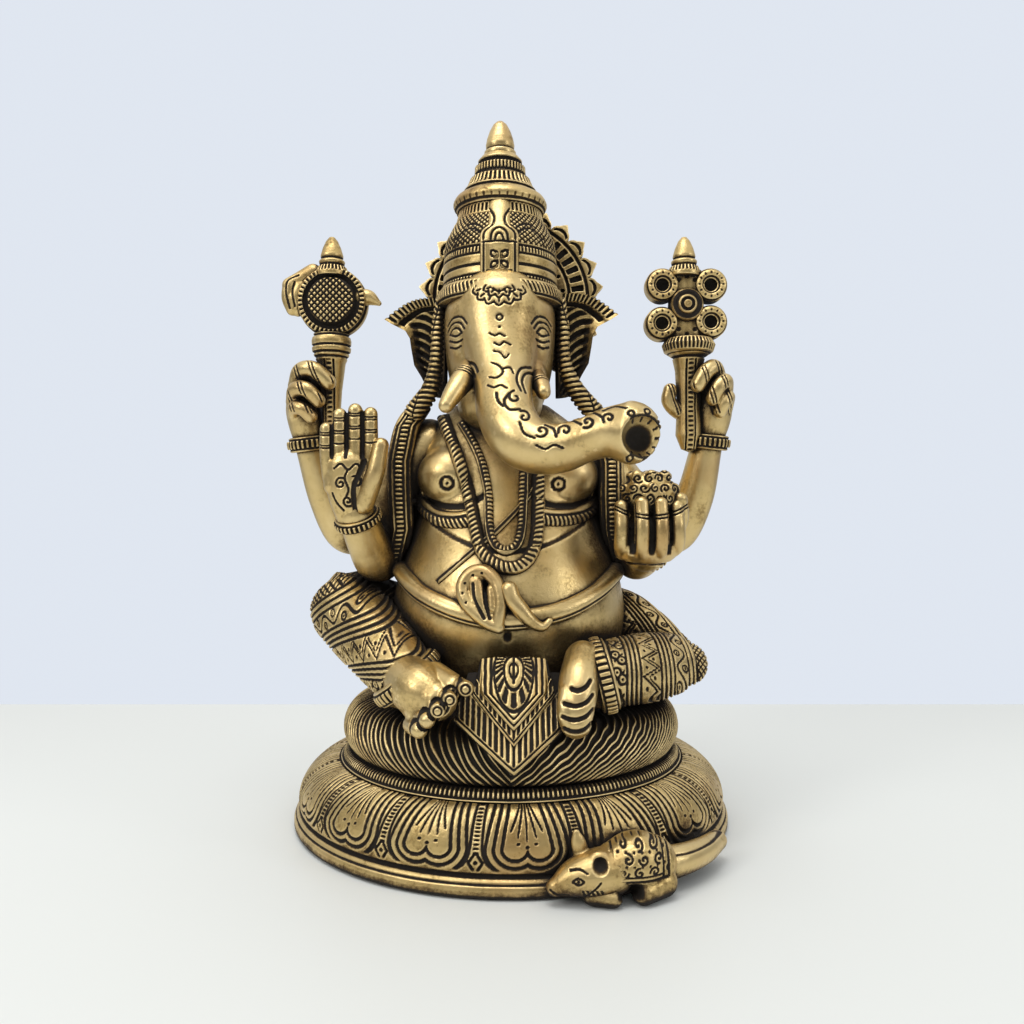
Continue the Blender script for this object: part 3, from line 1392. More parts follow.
# ---------------------------------------------------------------- head and trunk

HEAD_X = -4.4
HEAD = [
    (163.0, HEAD_X, -24.0, 13.0, 14.0),
    (171.0, HEAD_X, -25.5, 17.5, 19.0),
    (182.0, HEAD_X, -27.0, 20.5, 22.8),
    (194.0, HEAD_X, -27.5, 21.8, 24.4),
    (204.0, HEAD_X, -27.0, 22.0, 24.4),
    (212.0, HEAD_X, -26.0, 20.5, 22.5),
]
TRUNK = np.array(
    [
        (-4.4, -35.0, 205.0, 17.5),
        (-4.2, -39.5, 194.0, 16.0),
        (-3.6, -46.0, 183.0, 13.0),
        (-2.9, -52.5, 173.0, 10.8),
        (-1.9, -59.5, 163.0, 10.5),
        (2.2, -65.5, 154.2, 10.3),
        (9.2, -69.5, 149.6, 9.4),
        (17.3, -73.0, 149.2, 8.7),
        (25.8, -76.5, 151.8, 7.8),
        (33.0, -79.0, 153.8, 8.6),
        (39.8, -81.5, 153.6, 10.8),
    ]
)


def face_marks(p, n):
    x, z = p[:, 0] - HEAD_X, p[:, 2]
    front = n[:, 1] < 0.1
    eyes = []
    for side in (-1, 1):
        cx, cz = side * 16.6, 195.6
        eyes += [
            [
                (cx - 2.4 * side, cz - 1.0), (cx - 0.8 * side, cz + 1.0),
                (cx + 1.2 * side, cz + 1.1), (cx + 2.6 * side, cz - 0.8),
            ],
            [(cx - 2.4 * side, cz - 1.0), (cx, cz - 2.0), (cx + 2.6 * side, cz - 0.8)],
            [
                (cx - 3.4 * side, cz + 0.2), (cx - 1.6 * side, cz + 2.9),
                (cx + 1.4 * side, cz + 3.2), (cx + 3.4 * side, cz + 1.2),
            ],
            [
                (cx - 4.4 * side, cz + 1.8), (cx - 2.2 * side, cz + 4.9),
                (cx + 1.2 * side, cz + 5.3), (cx + 3.6 * side, cz + 3.2),
            ],
            [(cx - 2.6 * side, cz - 3.6), (cx, cz - 4.4), (cx + 2.6 * side, cz - 3.2)],
            [(cx - 2.0 * side, cz - 5.8), (cx, cz - 6.6), (cx + 2.4 * side, cz - 5.6)],
        ]
    rosette = []
    for size, offset, count in ((9.4, 2.0, 7), (5.4, 1.5, 5)):
        for i in range(count):
            a = math.pi + math.pi * (i + 0.5) / count
            mid = np.array([size * math.cos(a), 211.0 + size * 0.74 * math.sin(a)])
            out = np.array([math.cos(a), math.sin(a)])
            flank = np.array([-out[1], out[0]])
            rosette.append(
                [mid - flank * offset - out * 0.7, mid + out * 0.9, mid + flank * offset - out * 0.7]
            )
            rosette.append([mid - out * 2.2, mid - out * 0.7])
    rosette.append([(-2.4, 210.0), (0, 208.6), (2.4, 210.0)])
    ripples = [
        [(-3.4, 192.4), (-1.4, 191.4), (0.2, 192.2), (2.2, 191.2)],
        [(-1.6, 188.6), (0.4, 187.6), (1.8, 189.0), (4.4, 187.8)],
        [(-1.8, 185.4), (0.6, 184.8), (2.4, 182.6), (3.6, 184.2)],
        [(-2.6, 181.0), (0.2, 179.6), (1.6, 177.2), (-0.6, 175.0), (-3.4, 175.4)],
        [(1.4, 178.4), (4.2, 179.0), (5.4, 176.8)],
        [(-4.0, 172.2), (-1.6, 171.2), (0.8, 172.0), (3.0, 170.8)],
    ]
    scroll = [
        spiral(1.6, 167.4, 2.6, 0.9, 100, 1),
        [(-0.6, 168.8), (-2.4, 165.6), (-0.4, 162.6), (3.2, 162.8)],
        spiral(4.6, 160.0, 2.4, 1.0, 120, -1),
        [(3.0, 157.8), (4.6, 153.8), (8.0, 152.2)],
        spiral(10.4, 154.8, 2.5, 1.0, 230, 1),
        [(11.8, 157.0), (14.4, 155.4), (15.2, 152.4)],
        spiral(18.2, 154.6, 2.4, 1.0, 200, -1),
        [(16.4, 157.6), (20.2, 158.4), (23.4, 156.4)],
        spiral(25.4, 157.2, 2.3, 1.0, 240, 1),
        [(23.6, 159.4), (27.2, 160.6), (30.0, 158.6)],
        spiral(32.2, 158.0, 2.1, 1.0, 220, -1),
        [(30.8, 161.0), (34.6, 162.2), (38.2, 160.8)],
        spiral(40.2, 160.2, 1.9, 1.0, 200, 1),
        [(-5.2, 169.0), (-4.6, 166.0), (-2.8, 164.0)],
        [(8.6, 149.6), (11.6, 148.2), (14.4, 149.6), (17.4, 148.4)],
    ]
    sockets = [
        [(8.2, 170.2), (6.6, 174.4), (8.0, 178.8), (11.8, 180.2)],
        [(9.8, 169.6), (8.6, 173.8), (9.8, 177.2), (12.8, 178.2)],
        [(-7.8, 178.2), (-9.6, 181.6), (-13.6, 182.6), (-16.6, 180.6)],
        [(-9.0, 176.6), (-10.4, 179.4), (-13.6, 180.4), (-16.0, 178.4)],
    ]
    dot = both(stroke(np.hypot(x - 0.2, z - 198.6) - 1.1, 0.4), dots(x, z, [(0.2, 194.8)], 0.6))
    marks = both(drawn(x, z, eyes, 0.46), drawn(x, z, rosette, 0.42), 0.9 * drawn(x, z, ripples, 0.42), dot)
    return both(marks, drawn(p[:, 0], z, scroll, 0.52), drawn(x, z, sockets, 0.6)) * front


MOUTH = np.array([43.4, -92.0, 151.8])


def mouth_reach(p):
    """Distance from the middle of the trunk's opening, as seen from the front."""
    return np.hypot(p[:, 0] - MOUTH[0], (p[:, 2] - MOUTH[2]) * 1.05)


def open_mouth(p, n):
    """Hollows the end of the trunk."""
    reach = mouth_reach(p)
    hollow = np.clip(1 - (reach / 7.4) ** 2, 0, 1) ** 0.9 * (p[:, 1] < -79)
    return p + hollow[:, None] * np.array([-1.5, 9.5, -0.5])


def head_marks(p, n):
    """The face, with curls round the trunk's opening and creases under its bend."""
    reach = mouth_reach(p)
    near = (reach < 11) & (p[:, 1] < -80)
    marks = np.where(near, 0, face_marks(p, n))
    turn = np.degrees(np.arctan2(p[:, 2] - MOUTH[2], p[:, 0] - MOUTH[0]))
    curls = both(
        stroke(np.hypot(repeat(turn, 40.0) * 0.15, reach - 8.8) - 1.0, 0.42),
        stroke(reach - 7.4, 0.4),
        stroke(repeat(turn, 30.0) * 0.09, 0.35) * within(reach, 5.4, 7.0, 0.3),
    ) * (np.abs(turn) < 130)
    return both(marks, np.where(near, both(curls, 1.3 * np.clip(1 - (reach / 5.0) ** 3, 0, 1)), 0))


face_shapes = [
    stacked(HEAD),
    tube(TRUNK[:, :3], TRUNK[:, 3], step=0.6, sides=40),
    ball((-17.5, -36.0, 193.0), (7.0, 9.5, 11.0)),
    ball((8.8, -36.0, 193.0), (7.0, 9.5, 11.0)),
    ball((-15.5, -38.5, 179.5), (6.4, 9.0, 7.0)),
    ball((7.4, -38.5, 179.0), (6.4, 9.5, 8.0)),
    ball((HEAD_X, -28.0, 170.0), (17.0, 19.0, 14.0)),
]
cast(
    "head_and_trunk_brass",
    ["head", "trunk"],
    POLISHED,
    face_shapes,
    head_marks,
    depth=0.7,
    voxel=0.46,
    relax=16,
    press=open_mouth,
)


def tusk_rings(start, end, count, pitch, low):
    def carve(p, n):
        s, _ = limb_frame(p, start, end)
        return both(*[stroke(s - low - pitch * i, 0.45) for i in range(count)])

    return carve


right_tusk = [
    tube(
        [(-15.0, -44, 181), (-18.0, -52, 175.5), (-21.0, -57, 170.0), (-23.4, -60, 165.4)],
        [4.8, 4.5, 3.7, 2.8],
    ),
]
cast(
    "right_tusk_brass",
    ["right_tusk"],
    POLISHED,
    right_tusk,
    tusk_rings((-15, -46, 180), (-23.4, -60, 165.4), 3, 1.5, 4.0),
    voxel=0.4,
)
left_tusk = [
    tube([(8.6, -43, 179), (11.0, -50, 174.5), (11.9, -54.5, 171.0)], [3.8, 3.4, 2.8]),
]
cast(
    "left_tusk_brass",
    ["left_tusk"],
    POLISHED,
    left_tusk,
    tusk_rings((8.6, -43, 179), (11.9, -54.5, 171), 2, 1.5, 8.0),
    voxel=0.4,
)

# ---------------------------------------------------------------- ears, halo and locks


def ear(name, nodes, side, root_x, lift):
    """A ribbed fan. Rows run down the ear, and columns from the cheek to the rim."""
    rows, columns = 120, 76
    v = np.linspace(0, 1, rows)[:, None]
    u = np.linspace(0, 1, columns)[None, :]
    reach = np.interp(
        v[:, 0],
        [0, 0.06, 0.14, 0.24, 0.38, 0.6, 0.76, 1],
        [24.0, 21.0, 16.2, 14.4, 13.8, 12.6, 9.6, 6.0],
    )[:, None]
    x = root_x + side * u * reach
    top = 212.0 + lift + 1.5 * np.sin(math.pi * u) - 7.5 * u**3
    z = top * (1 - v) + (173.0 + 1.5 * u) * v
    y = -24.0 + 8.0 * np.sqrt(u) + 4.0 * np.sin(v * math.pi) * (1 - u) - 12.0 * np.clip(u - 0.78, 0, 1)
    rib = np.abs(((v * 9.5 + 2.2 * u + 0.9 * u * u) % 1) - 0.5) * 2
    field = np.clip((rib - 0.28) / 0.6, 0, 1) * within(u, 0.10, 0.90, 0.06) * within(v, 0.11, 0.98, 0.03)
    rim_beads = stroke(repeat(u * 26.0 + 0 * v, 1.9), 0.55) * within(v, -1, 0.075, 0.01)
    rim_line = both(stroke((v - 0.095) * 39, 0.7), 0 * u + 0 * v)
    field = both(field, 0.85 * rim_beads + 0 * field, rim_line * (u < 0.95))
    points = np.stack([x + 0 * v, y + 0 * x, z], -1)
    normal = np.array([side * 0.3, -0.95, 0.0])
    front = points + normal * (1.4 + 1.6 * within(v, -1, 0.09, 0.02) - 1.7 * field)[..., None]
    back = points - normal * 2.0
    quads = grid_faces(rows, columns, False, False)
    count = rows * columns
    border = np.concatenate(
        [
            np.arange(columns),
            (np.arange(1, rows)) * columns + columns - 1,
            (rows - 1) * columns + np.arange(columns - 2, -1, -1),
            np.arange(rows - 2, 0, -1) * columns,
        ]
    )
    nxt = np.roll(border, -1)
    walls = np.stack([border, border + count, nxt + count, nxt], -1)
    faces = np.vstack([quads[:, ::-1], quads + count, walls])
    if side < 0:
        faces = faces[:, ::-1]
    flat = np.vstack([front.reshape(-1, 3), back.reshape(-1, 3)])
    return write(
        name,
        nodes,
        DARK,
        flat,
        faces,
        None,
        np.concatenate([field.ravel(), 0.5 * np.ones(count)]),
    )


ear("right_ear_brass", ["right_ear"], -1, -26.4, 0.5)
ear("left_ear_brass", ["left_ear"], 1, 18.6, 2.5)

HALO = np.array([0.0, -6.0, 217.0])
HALO_POINTS, HALO_SLOTS = 24, 44


def halo_face(a, r, f):
    slot = stroke(repeat(a, 2 * math.pi / HALO_SLOTS) * 28.5, 1.3) * within(r, 25.6, 30.8, 0.4)
    lines = both(stroke(r - 24.4, 0.55), stroke(r - 32.2, 0.7))
    pips = stroke(np.hypot(repeat(a + math.pi / 22, math.pi / 11) * 21.5, r - 21.8), 0.9)
    tooth = np.abs(((a / (2 * math.pi) * HALO_POINTS) % 1) - 0.5) * 2
    curl = stroke(r - 35.6 + 2.6 * tooth**2, 0.7) * (r > 33.0) * (tooth < 0.75)
    return both(np.clip(1.7 * slot, 0, 1), lines, pips, 0.9 * curl) * (f > 0)


def make_halo():
    a = np.linspace(0, 2 * math.pi, 26 * 40, endpoint=False)
    tooth = np.abs(((a / (2 * math.pi) * HALO_POINTS) % 1) - 0.5) * 2
    rim = 33.4 + 3.9 * np.sqrt(
        np.clip(1 - (tooth / 0.97) ** 2, 0, 1)
    ) + 1.9 * np.clip(1 - tooth / 0.45, 0, 1)
    share = np.concatenate([np.linspace(0.02, 1, 90), np.full(8, 1.0), np.linspace(1, 0.02, 30)])[:, None]
    forward = np.concatenate([np.full(90, 2.0), np.linspace(2.0, -2.0, 8), np.full(30, -2.0)])[:, None]
    inner = np.minimum(share * 38.9, 33.2)
    r = np.where(
        share * 38.9 < 33.2,
        inner,
        33.2 + (rim - 33.2) * np.clip((share * 38.9 - 33.2) / 5.7, 0, 1),
    )
    forward = forward - np.sign(forward) * 0.9 * np.clip((r - 35) / 4, 0, 1)
    points = np.stack(
        [HALO[0] + r * np.cos(a), HALO[1] - forward * np.ones_like(a), HALO[2] + r * np.sin(a)],
        -1,
    )
    field = halo_face(a[None], r, forward) * np.ones(points.shape[:2])
    points[..., 1] += 1.3 * field
    flat, faces, tris = capped(points)
    patina = np.concatenate([field.ravel(), [0, 0]])
    write("halo_brass", ["halo"], CHASED, flat, faces[:, ::-1], tris[:, ::-1], patina)


make_halo()


def plait(start, end):
    def carve(p, n):
        s, turn = limb_frame(p, start, end)
        return both(stroke(repeat(s + 0.02 * np.abs(turn), 2.1), 0.6), stroke(turn / 12, 0.35))

    return carve


for name, points in (
    (
        "right_lock",
        [(-28.0, -27, 211), (-29.0, -29, 200), (-29.6, -28, 187), (-32, -27, 176), (-38.5, -26.5, 167)],
    ),
    (
        "left_lock",
        [(19.6, -27, 211), (20.6, -29, 200), (21.0, -28, 187), (25.5, -27, 176), (33, -26.5, 167)],
    ),
):
    cast(
        f"{name}_brass",
        [name],
        DARK,
        [tube(points, [2.3, 2.6, 2.9, 3.8, 4.2])],
        plait(points[0], points[-1]),
        depth=0.8,
        voxel=0.4,
        relax=2,
    )

# ---------------------------------------------------------------- crown

CROWN_Y = -22.0


def band_marks(angle, along, radius, height):
    hatch = stroke(
        repeat(angle * 25.0 + 0.35 * (height - 209), 1.9),
        0.55,
    ) * within(height, 210.2, 214.4, 0.3)
    return both(hatch, stroke(height - 209.6, 0.45)) * (radius > 20)


turned(
    "crown_band_brass",
    ["crown_band"],
    CHASED,
    [(0, 207.8), (22.6, 208.0), (25.0, 209.0), (25.4, 210.6), (24.9, 213.4), (23.6, 215.2), (0, 216)],
    band_marks,
    x=HEAD_X,
    y=-24.5,
    sides=720,
)


def bowl_marks(angle, along, radius, height):
    rows = both(*[stroke(height - h, 0.55) for h in (217.6, 221.4, 225.6, 228.6)])
    hatch = stroke(repeat(angle * 22.6, 1.5), 0.45) * (
        within(height, 214.6, 217.2, 0.3) + within(height, 226.2, 228.2, 0.3)
    )
    net_u, net_v = angle * 21.0, height * 1.2
    net = both(
        stroke(repeat(net_u + net_v, 2.4), 0.5),
        stroke(repeat(net_u - net_v, 2.4), 0.5),
    ) * within(height, 229.4, 243, 0.4)
    arch = both(
        *[stroke(np.hypot(np.abs(angle) * 21.0 - 12.0, (height - 229) * 0.9) - d, 0.5) for d in (6.2, 8.0)]
    )
    necklace = stroke(repeat(angle * 17.0, 1.7), 0.5) * within(height, 243.4, 246.8, 0.3)
    return both(rows, hatch, 0.85 * net, arch * within(height, 229.2, 243, 0.3), necklace)


turned(
    "crown_bowl_brass",
    ["crown_bowl"],
    CHASED,
    [
        (0, 214.2), (23.0, 214.2), (23.2, 217), (22.8, 221), (23.0, 225), (22.6, 228.4),
        (22.7, 231), (21.8, 235.2), (19.6, 239.6), (17.6, 243.2), (16.6, 247.6), (0, 248),
    ],
    bowl_marks,
    x=HEAD_X,
    y=CROWN_Y,
    sides=640,
)


def brim_marks(angle, along, radius, height):
    ripple = 0.35 * stroke(repeat(angle * 18.0, 3.0), 0.6) * within(height, 247.8, 250.4, 0.4)
    return both(ripple, stroke(height - 248.2, 0.5)) * (radius > 14)


turned(
    "crown_brim_brass",
    ["crown_brim"],
    CHASED,
    [
        (0, 246.8),
        (15.0, 246.8),
        (17.6, 247.4),
        *[tuple(p) for p in smooth([(18.4, 248.6), (18.9, 250.6), (17.6, 253.0), (15.4, 254.2)], 0.6)],
        (0, 255),
    ],
    brim_marks,
    x=HEAD_X,
    y=CROWN_Y,
    sides=480,
)


def spire_marks(angle, along, radius, height):
    hatch = stroke(repeat(angle * 12.0, 1.7), 0.5) * both(
        within(height, 256.4, 260.6, 0.3),
        within(height, 262.6, 265.4, 0.3),
    )
    return both(hatch, *[stroke(height - h, 0.6) for h in (255.2, 261.2, 262.3, 266.2, 267.2)])


turned(
    "crown_spire_brass",
    ["crown_spire"],
    CHASED,
    [
        (0, 254.2), (14.8, 254.2), (15.0, 255.6), (13.4, 257.6), (12.2, 260.6), (10.6, 261.4),
        (10.4, 262.2), (10.2, 265.6), (8.8, 266.2), (8.6, 267.0), (8.9, 268.4), (7.2, 270.4),
        (0, 271),
    ],
    spire_marks,
    x=HEAD_X,
    y=CROWN_Y,
    sides=400,
)
turned(
    "crown_finial_brass",
    ["crown_finial"],
    POLISHED,
    [
        (0, 269.6), (5.6, 269.6), (6.4, 270.8), (6.4, 272.2), (5.6, 273.2), (5.8, 275),
        (5.3, 277.6), (4.2, 280.8), (2.8, 283.4), (1.4, 284.7), (0, 285),
    ],
    lambda angle, along, radius, height: 0.5 * stroke(height - 273.0, 0.5) + 0 * angle,
    x=HEAD_X,
    y=CROWN_Y,
    sides=200,
)


def plaque_marks(p, n):
    u, v = p[:, 0] - HEAD_X, p[:, 2] - 216.0
    lines = [
        [(-6.0, 1.0), (-6.0, 12.4)],
        [(6.0, 1.0), (6.0, 12.4)],
        *[
            [
                (1.0 * math.cos(t), 6.6 + 1.0 * math.sin(t)),
                (3.0 * math.cos(t - 0.42), 6.6 + 3.0 * math.sin(t - 0.42)),
                (4.5 * math.cos(t), 6.6 + 4.5 * math.sin(t)),
                (3.0 * math.cos(t + 0.42), 6.6 + 3.0 * math.sin(t + 0.42)),
                (1.0 * math.cos(t), 6.6 + 1.0 * math.sin(t)),
            ]
            for t in (math.pi / 4 * k for k in range(1, 16, 2))
        ][:4],
        [(-4.4, 2.0), (4.4, 2.0)],
        [(-6.2, 14.2), (-5.8, 17.2), (-2.6, 20.4), (-2.2, 24.0), (-4.0, 27.4)],
        [(6.2, 14.2), (5.8, 17.2), (2.6, 20.4), (2.2, 24.0), (4.0, 27.4)],
        [(-3.4, 14.0), (-2.6, 17.2), (0, 18.8), (2.6, 17.2), (3.4, 14.0)],
        [(-1.6, 13.8), (-1.2, 15.6), (0, 16.4), (1.2, 15.6), (1.6, 13.8)],
        [(-6.6, 13.2), (6.6, 13.2)],
    ]
    return drawn(u, v, lines, 0.55) * (n[:, 1] < -0.2)


plaque_shapes = [
    tube(
        [(HEAD_X + u, -43.4, 217.6), (HEAD_X + u, -43.4, 229.0)],
        [2.2, 2.2],
        sides=16,
    ) for u in (-5.2, -2.6, 0, 2.6, 5.2)
]
plaque_shapes += [
    ball((HEAD_X, -42.6, 231.0), (7.8, 3.2, 6.0)),
    tube([(HEAD_X, -42.8, 231), (HEAD_X, -40.2, 239), (HEAD_X, -37.4, 245.6)], [5.6, 4.4, 4.6], flat=0.6),
]
cast(
    "crown_plaque_brass",
    ["crown_plaque"],
    CHASED,
    plaque_shapes,
    plaque_marks,
    depth=0.75,
    voxel=0.4,
    relax=4,
)

# ---------------------------------------------------------------- ornaments on the body

GARLAND = [
    (-27.5, 166.0), (-24.0, 157.0), (-19.8, 146.0), (-16.0, 134.0), (-13.4, 122.0), (-10.6, 112.4),
    (-5.0, 107.6), (1.2, 106.6), (6.4, 109.8), (9.4, 117.0), (10.2, 128.0), (10.4, 140.0),
    (11.0, 152.0),
]
INNER = [
    (-20.0, 163.0), (-14.8, 154.0), (-11.0, 145.0), (-8.7, 134.0), (-8.1, 122.0), (-6.2, 115.2),
    (-2.0, 112.6), (2.2, 114.8), (4.0, 121.0), (4.7, 134.0), (5.2, 148.0),
]


def ladder(s, w):
    rungs = stroke(repeat(s + 0.3 * w, 1.75), 0.55) * within(w, -2.0, 1.3, 0.25)
    return both(rungs, stroke(w - 1.75, 0.4), stroke(np.abs(w) - 2.3, 0.3))


def piped(s, w):
    return both(stroke(w + 0.5, 0.4), stroke(repeat(s, 1.6), 0.5) * (w > -0.2))


def rolled(s, w):
    """A smooth roll over a hatched one."""
    return both(
        stroke(w - 0.2, 0.6),
        stroke(repeat(s + 0.4 * w, 1.6), 0.5) * (w < -0.3),
        stroke(w - 2.6, 0.35),
    )


ribbon("outer_garland_brass", ["outer_garland"], CHASED, body, GARLAND, 2.5, 2.8, ladder, square=3)
ribbon("inner_garland_brass", ["inner_garland"], CHASED, body, INNER, 1.7, 2.2, piped, square=3)
THREAD = [(-27.5, 101.0), (-14.6, 112.0), (-5.6, 119.6), (3.8, 129.4), (11.0, 139.0)]
ribbon(
    "sacred_thread_brass",
    ["sacred_thread"],
    CHASED,
    body,
    THREAD,
    1.1,
    1.2,
    lambda s,
    w: stroke(w, 0.4),
    depth=0.5,
)
LEFT_ROLL = [(9.0, 125.6), (17.0, 124.8), (25.0, 125.6), (31.0, 128.4), (35.0, 133.0)]
RIGHT_ROLL = [(-38.0, 134.0), (-33.0, 128.0), (-27.0, 124.6), (-19.0, 124.0), (-12.0, 126.0)]
ribbon("chest_band_left_brass", ["chest_band"], CHASED, body, LEFT_ROLL, 3.2, 2.2, rolled, square=3)
ribbon("chest_band_right_brass", ["chest_band"], CHASED, body, RIGHT_ROLL, 3.2, 2.2, rolled, square=3)

BELT = [
    (-45.0, 106.0), (-40.0, 101.4), (-32.0, 95.8), (-20.0, 91.2), (-8, 88.8), (3.0, 88.6),
    (18.0, 91.0), (30.0, 96.0), (38.0, 101.4), (42.5, 105.4),
]


def belt_lines(s, w):
    return both(stroke(w + 1.8, 0.35), stroke(np.abs(w) - 3.7, 0.35))


ribbon(
    "snake_belt_brass",
    ["snake_belt"],
    POLISHED,
    body,
    BELT,
    [3.0, 3.8, 4.0, 3.8, 3.0],
    4.2,
    belt_lines,
    sink=2.4,
    square=2,
)


def laid_tube(tree, path, radii, proud, **options):
    """A round cord whose (x, z) path lies on the surface, moved forward by proud."""
    line = smooth(path, 1.5)
    points, _ = laid(tree, line[:, :1], line[:, 1:])
    points = points[:, 0]
    points[:, 1] = soften(points[:, 1], 4) - proud
    radius = np.interp(np.linspace(0, 1, len(line)), np.linspace(0, 1, len(radii)), radii)
    return tube(points, radius, **options)


def hood_dots(p, n):
    x, z = p[:, 0], p[:, 2]
    spots = dots(
        x,
        z,
        [(-16.4, 101.6), (-17.2, 98.2), (-16.0, 95.0), (-13.6, 104.4), (-10.4, 105.2), (-13.4, 97.4)],
        0.55,
    )
    folds = drawn(
        x,
        z,
        [[(-13.6, 101.4), (-13.0, 96.4), (-9.4, 89.6)], [(-9.2, 101.8), (-9.0, 95.4), (-7.4, 89.6)]],
        0.7,
    )
    return both(spots, folds) * (n[:, 1] < 0)


hood = [
    laid_tube(
        body,
        [
            (-4.2, 86), (-9, 88), (-15.0, 93.6), (-17.4, 99.8), (-14.5, 104.8), (-9.4, 105.6),
            (-5.2, 101.6), (-3.6, 95.0), (-4.6, 87.6),
        ],
        [2.2, 2.4, 2.6, 2.5, 2.2],
        4.4,
    ),
    laid_tube(body, [(-12.6, 101.6), (-11.2, 95.0), (-7.6, 88.6)], [3.0, 2.8, 2.2], 3.6),
    laid_tube(body, [(-15.0, 97.6), (-12.6, 93.6), (-9.0, 90.0)], [2.0, 2.0, 1.8], 3.4),
    laid_tube(body, [(-7.0, 99.6), (-6.6, 93.0)], [1.7, 1.6], 4.2),
]
cast("snake_hood_brass", ["snake_hood"], POLISHED, hood, hood_dots, depth=0.8, voxel=0.4, relax=2)
TAIL = [(-0.6, 99.6), (0.6, 96.2), (3.7, 92.2), (7.6, 87.9), (11.3, 86.3), (13.8, 88.4)]
tail = [laid_tube(body, TAIL, [3.0, 3.0, 2.9, 2.5, 1.9, 1.2], 5.0)]
cast("snake_tail_brass", ["snake_belt"], POLISHED, tail, None, voxel=0.4, relax=2)


def stole_marks(points):
    """A beaded strip down the middle of a shawl, as seen from the front, with piped edges."""
    line = np.asarray(points, float)[::-1]

    def carve(p, n):
        u = p[:, 0] - np.interp(p[:, 2], line[:, 2], line[:, 0])
        rungs = stroke(repeat(p[:, 2], 1.8), 0.55) * (np.abs(u) < 1.5)
        edges = both(stroke(np.abs(u) - 1.9, 0.45), stroke(np.abs(u) - 3.6, 0.7))
        return both(rungs, edges) * (n[:, 1] < 0.3) + (n[:, 1] >= 0.3) * 0.6

    return carve


for name, points in (
    (
        "right_stole",
        [
            (-36.0, -21, 170), (-41.5, -26, 161), (-44.0, -29, 147), (-43.6, -31, 133),
            (-43.0, -31, 120), (-46.0, -28, 108),
        ],
    ),
    (
        "left_stole",
        [
            (34.0, -21, 168), (38.0, -26, 159), (39.6, -29, 146), (39.4, -31, 133),
            (39.8, -31, 120), (42.5, -28, 108),
        ],
    ),
):
    shawl = tube(points, [3.8, 4.8, 5.0, 4.8, 4.4, 3.4])
    cast(f"{name}_brass", [name], DARK, [shawl], stole_marks(points), depth=0.8, voxel=0.45, relax=2)

# ---------------------------------------------------------------- mouse

mouse_shapes = [
    tube([(34.5, -88.0, 10.2), (41.0, -86.2, 11.8), (46.5, -83.4, 10.6)], [8.6, 9.8, 8.8]),
    tube([(26.0, -93.0, 3.4), (33.0, -94.4, 3.2)], [3.0, 3.0]),
    tube([(43.0, -92.0, 4.0), (50.0, -86.5, 5.2)], [4.0, 5.0]),
]


def saddle(p, n):
    """A patterned saddle cloth, and the gap under the forearm."""
    x, z = p[:, 0], p[:, 2]
    left, right, low = 32.5, 51.5, 8.6
    inside = within(x, left, right, 0.4) * within(z, low, 40, 0.4)
    curls = [
        spiral(36.0 + 5.2 * i + 1.6 * (j % 2), 11.6 + 4.0 * j, 1.7, 1.1, 90 * (i + j), 1 if i % 2 else -1)
        for i in range(4) for j in range(3)
    ]
    spots = [(34.4 + 2.6 * i, 13.6 + 4.0 * j) for i in range(7) for j in range(3)]
    hems = both(
        stroke(x - left, 0.45) * (z > low),
        stroke(x - right, 0.5) * (z > low),
        stroke(x - right + 2.0, 0.4) * (z > low),
        stroke(z - low, 0.5) * (x > left) * (x < right),
        stroke(z - low - 1.6, 0.35) * (x > left) * (x < right - 2),
    )
    hole = np.clip(1.6 * np.exp(-(((x - 38.4) / 3.4) ** 2 + ((z - 5.2) / 2.2) ** 4)), 0, 1)
    cloth = both(drawn(x, z, curls, 0.42), dots(x, z, spots, 0.5)) * inside
    return both(0.9 * cloth, hems, hole) * (n[:, 1] < 0.25)


def under_arm(p, n):
    """Pushes the gap under the forearm back."""
    hole = np.exp(-(((p[:, 0] - 38.4) / 3.2) ** 4 + ((p[:, 2] - 5.2) / 2.2) ** 4)) * (p[:, 1] < -88)
    return p + hole[:, None] * np.array([0.0, 4.0, 0.0])


cast(
    "mouse_body_brass",
    ["mouse_body"],
    CHASED,
    mouse_shapes,
    saddle,
    depth=0.6,
    voxel=0.42,
    relax=3,
    press=under_arm,
)


def mouse_face(p, n):
    x, z = p[:, 0], p[:, 2]
    lines = [
        [(19.8, 9.6), (21.4, 10.7), (23.2, 9.8)],
        [(19.8, 9.4), (21.6, 8.5), (23.2, 9.6)],
        [(12.6, 6.2), (15.0, 4.6), (18.4, 4.6)],
        [(19.0, 12.6), (22.0, 13.2), (24.4, 12.2)],
        [(24.0, 4.6), (26.4, 6.8), (28.6, 9.4)],
    ]
    cup = 0.9 * np.clip(1.4 - np.hypot(x - 28.6, z - 14.0) / 2.0, 0, 1) * (p[:, 1] < -91)
    whiskers = 0.7 * stroke(
        repeat(x + 0.4 * z, 1.5),
        0.4,
    ) * within(x, 22.5, 30.0, 0.4) * within(z, 2.0, 7.0, 0.4)
    return both(drawn(x, z, lines, 0.42), dots(x, z, [(21.5, 9.6)], 0.6), cup, whiskers) * (n[:, 1] < 0)


def ear_cup(p, n):
    dent = np.clip(
        1 - (np.hypot(p[:, 0] - 28.6, p[:, 2] - 14.0) / 2.7) ** 2,
        0,
        1,
    ) * (p[:, 1] < -91) * (n[:, 1] < 0)
    return p + dent[:, None] * np.array([0.0, 2.4, 0.0])


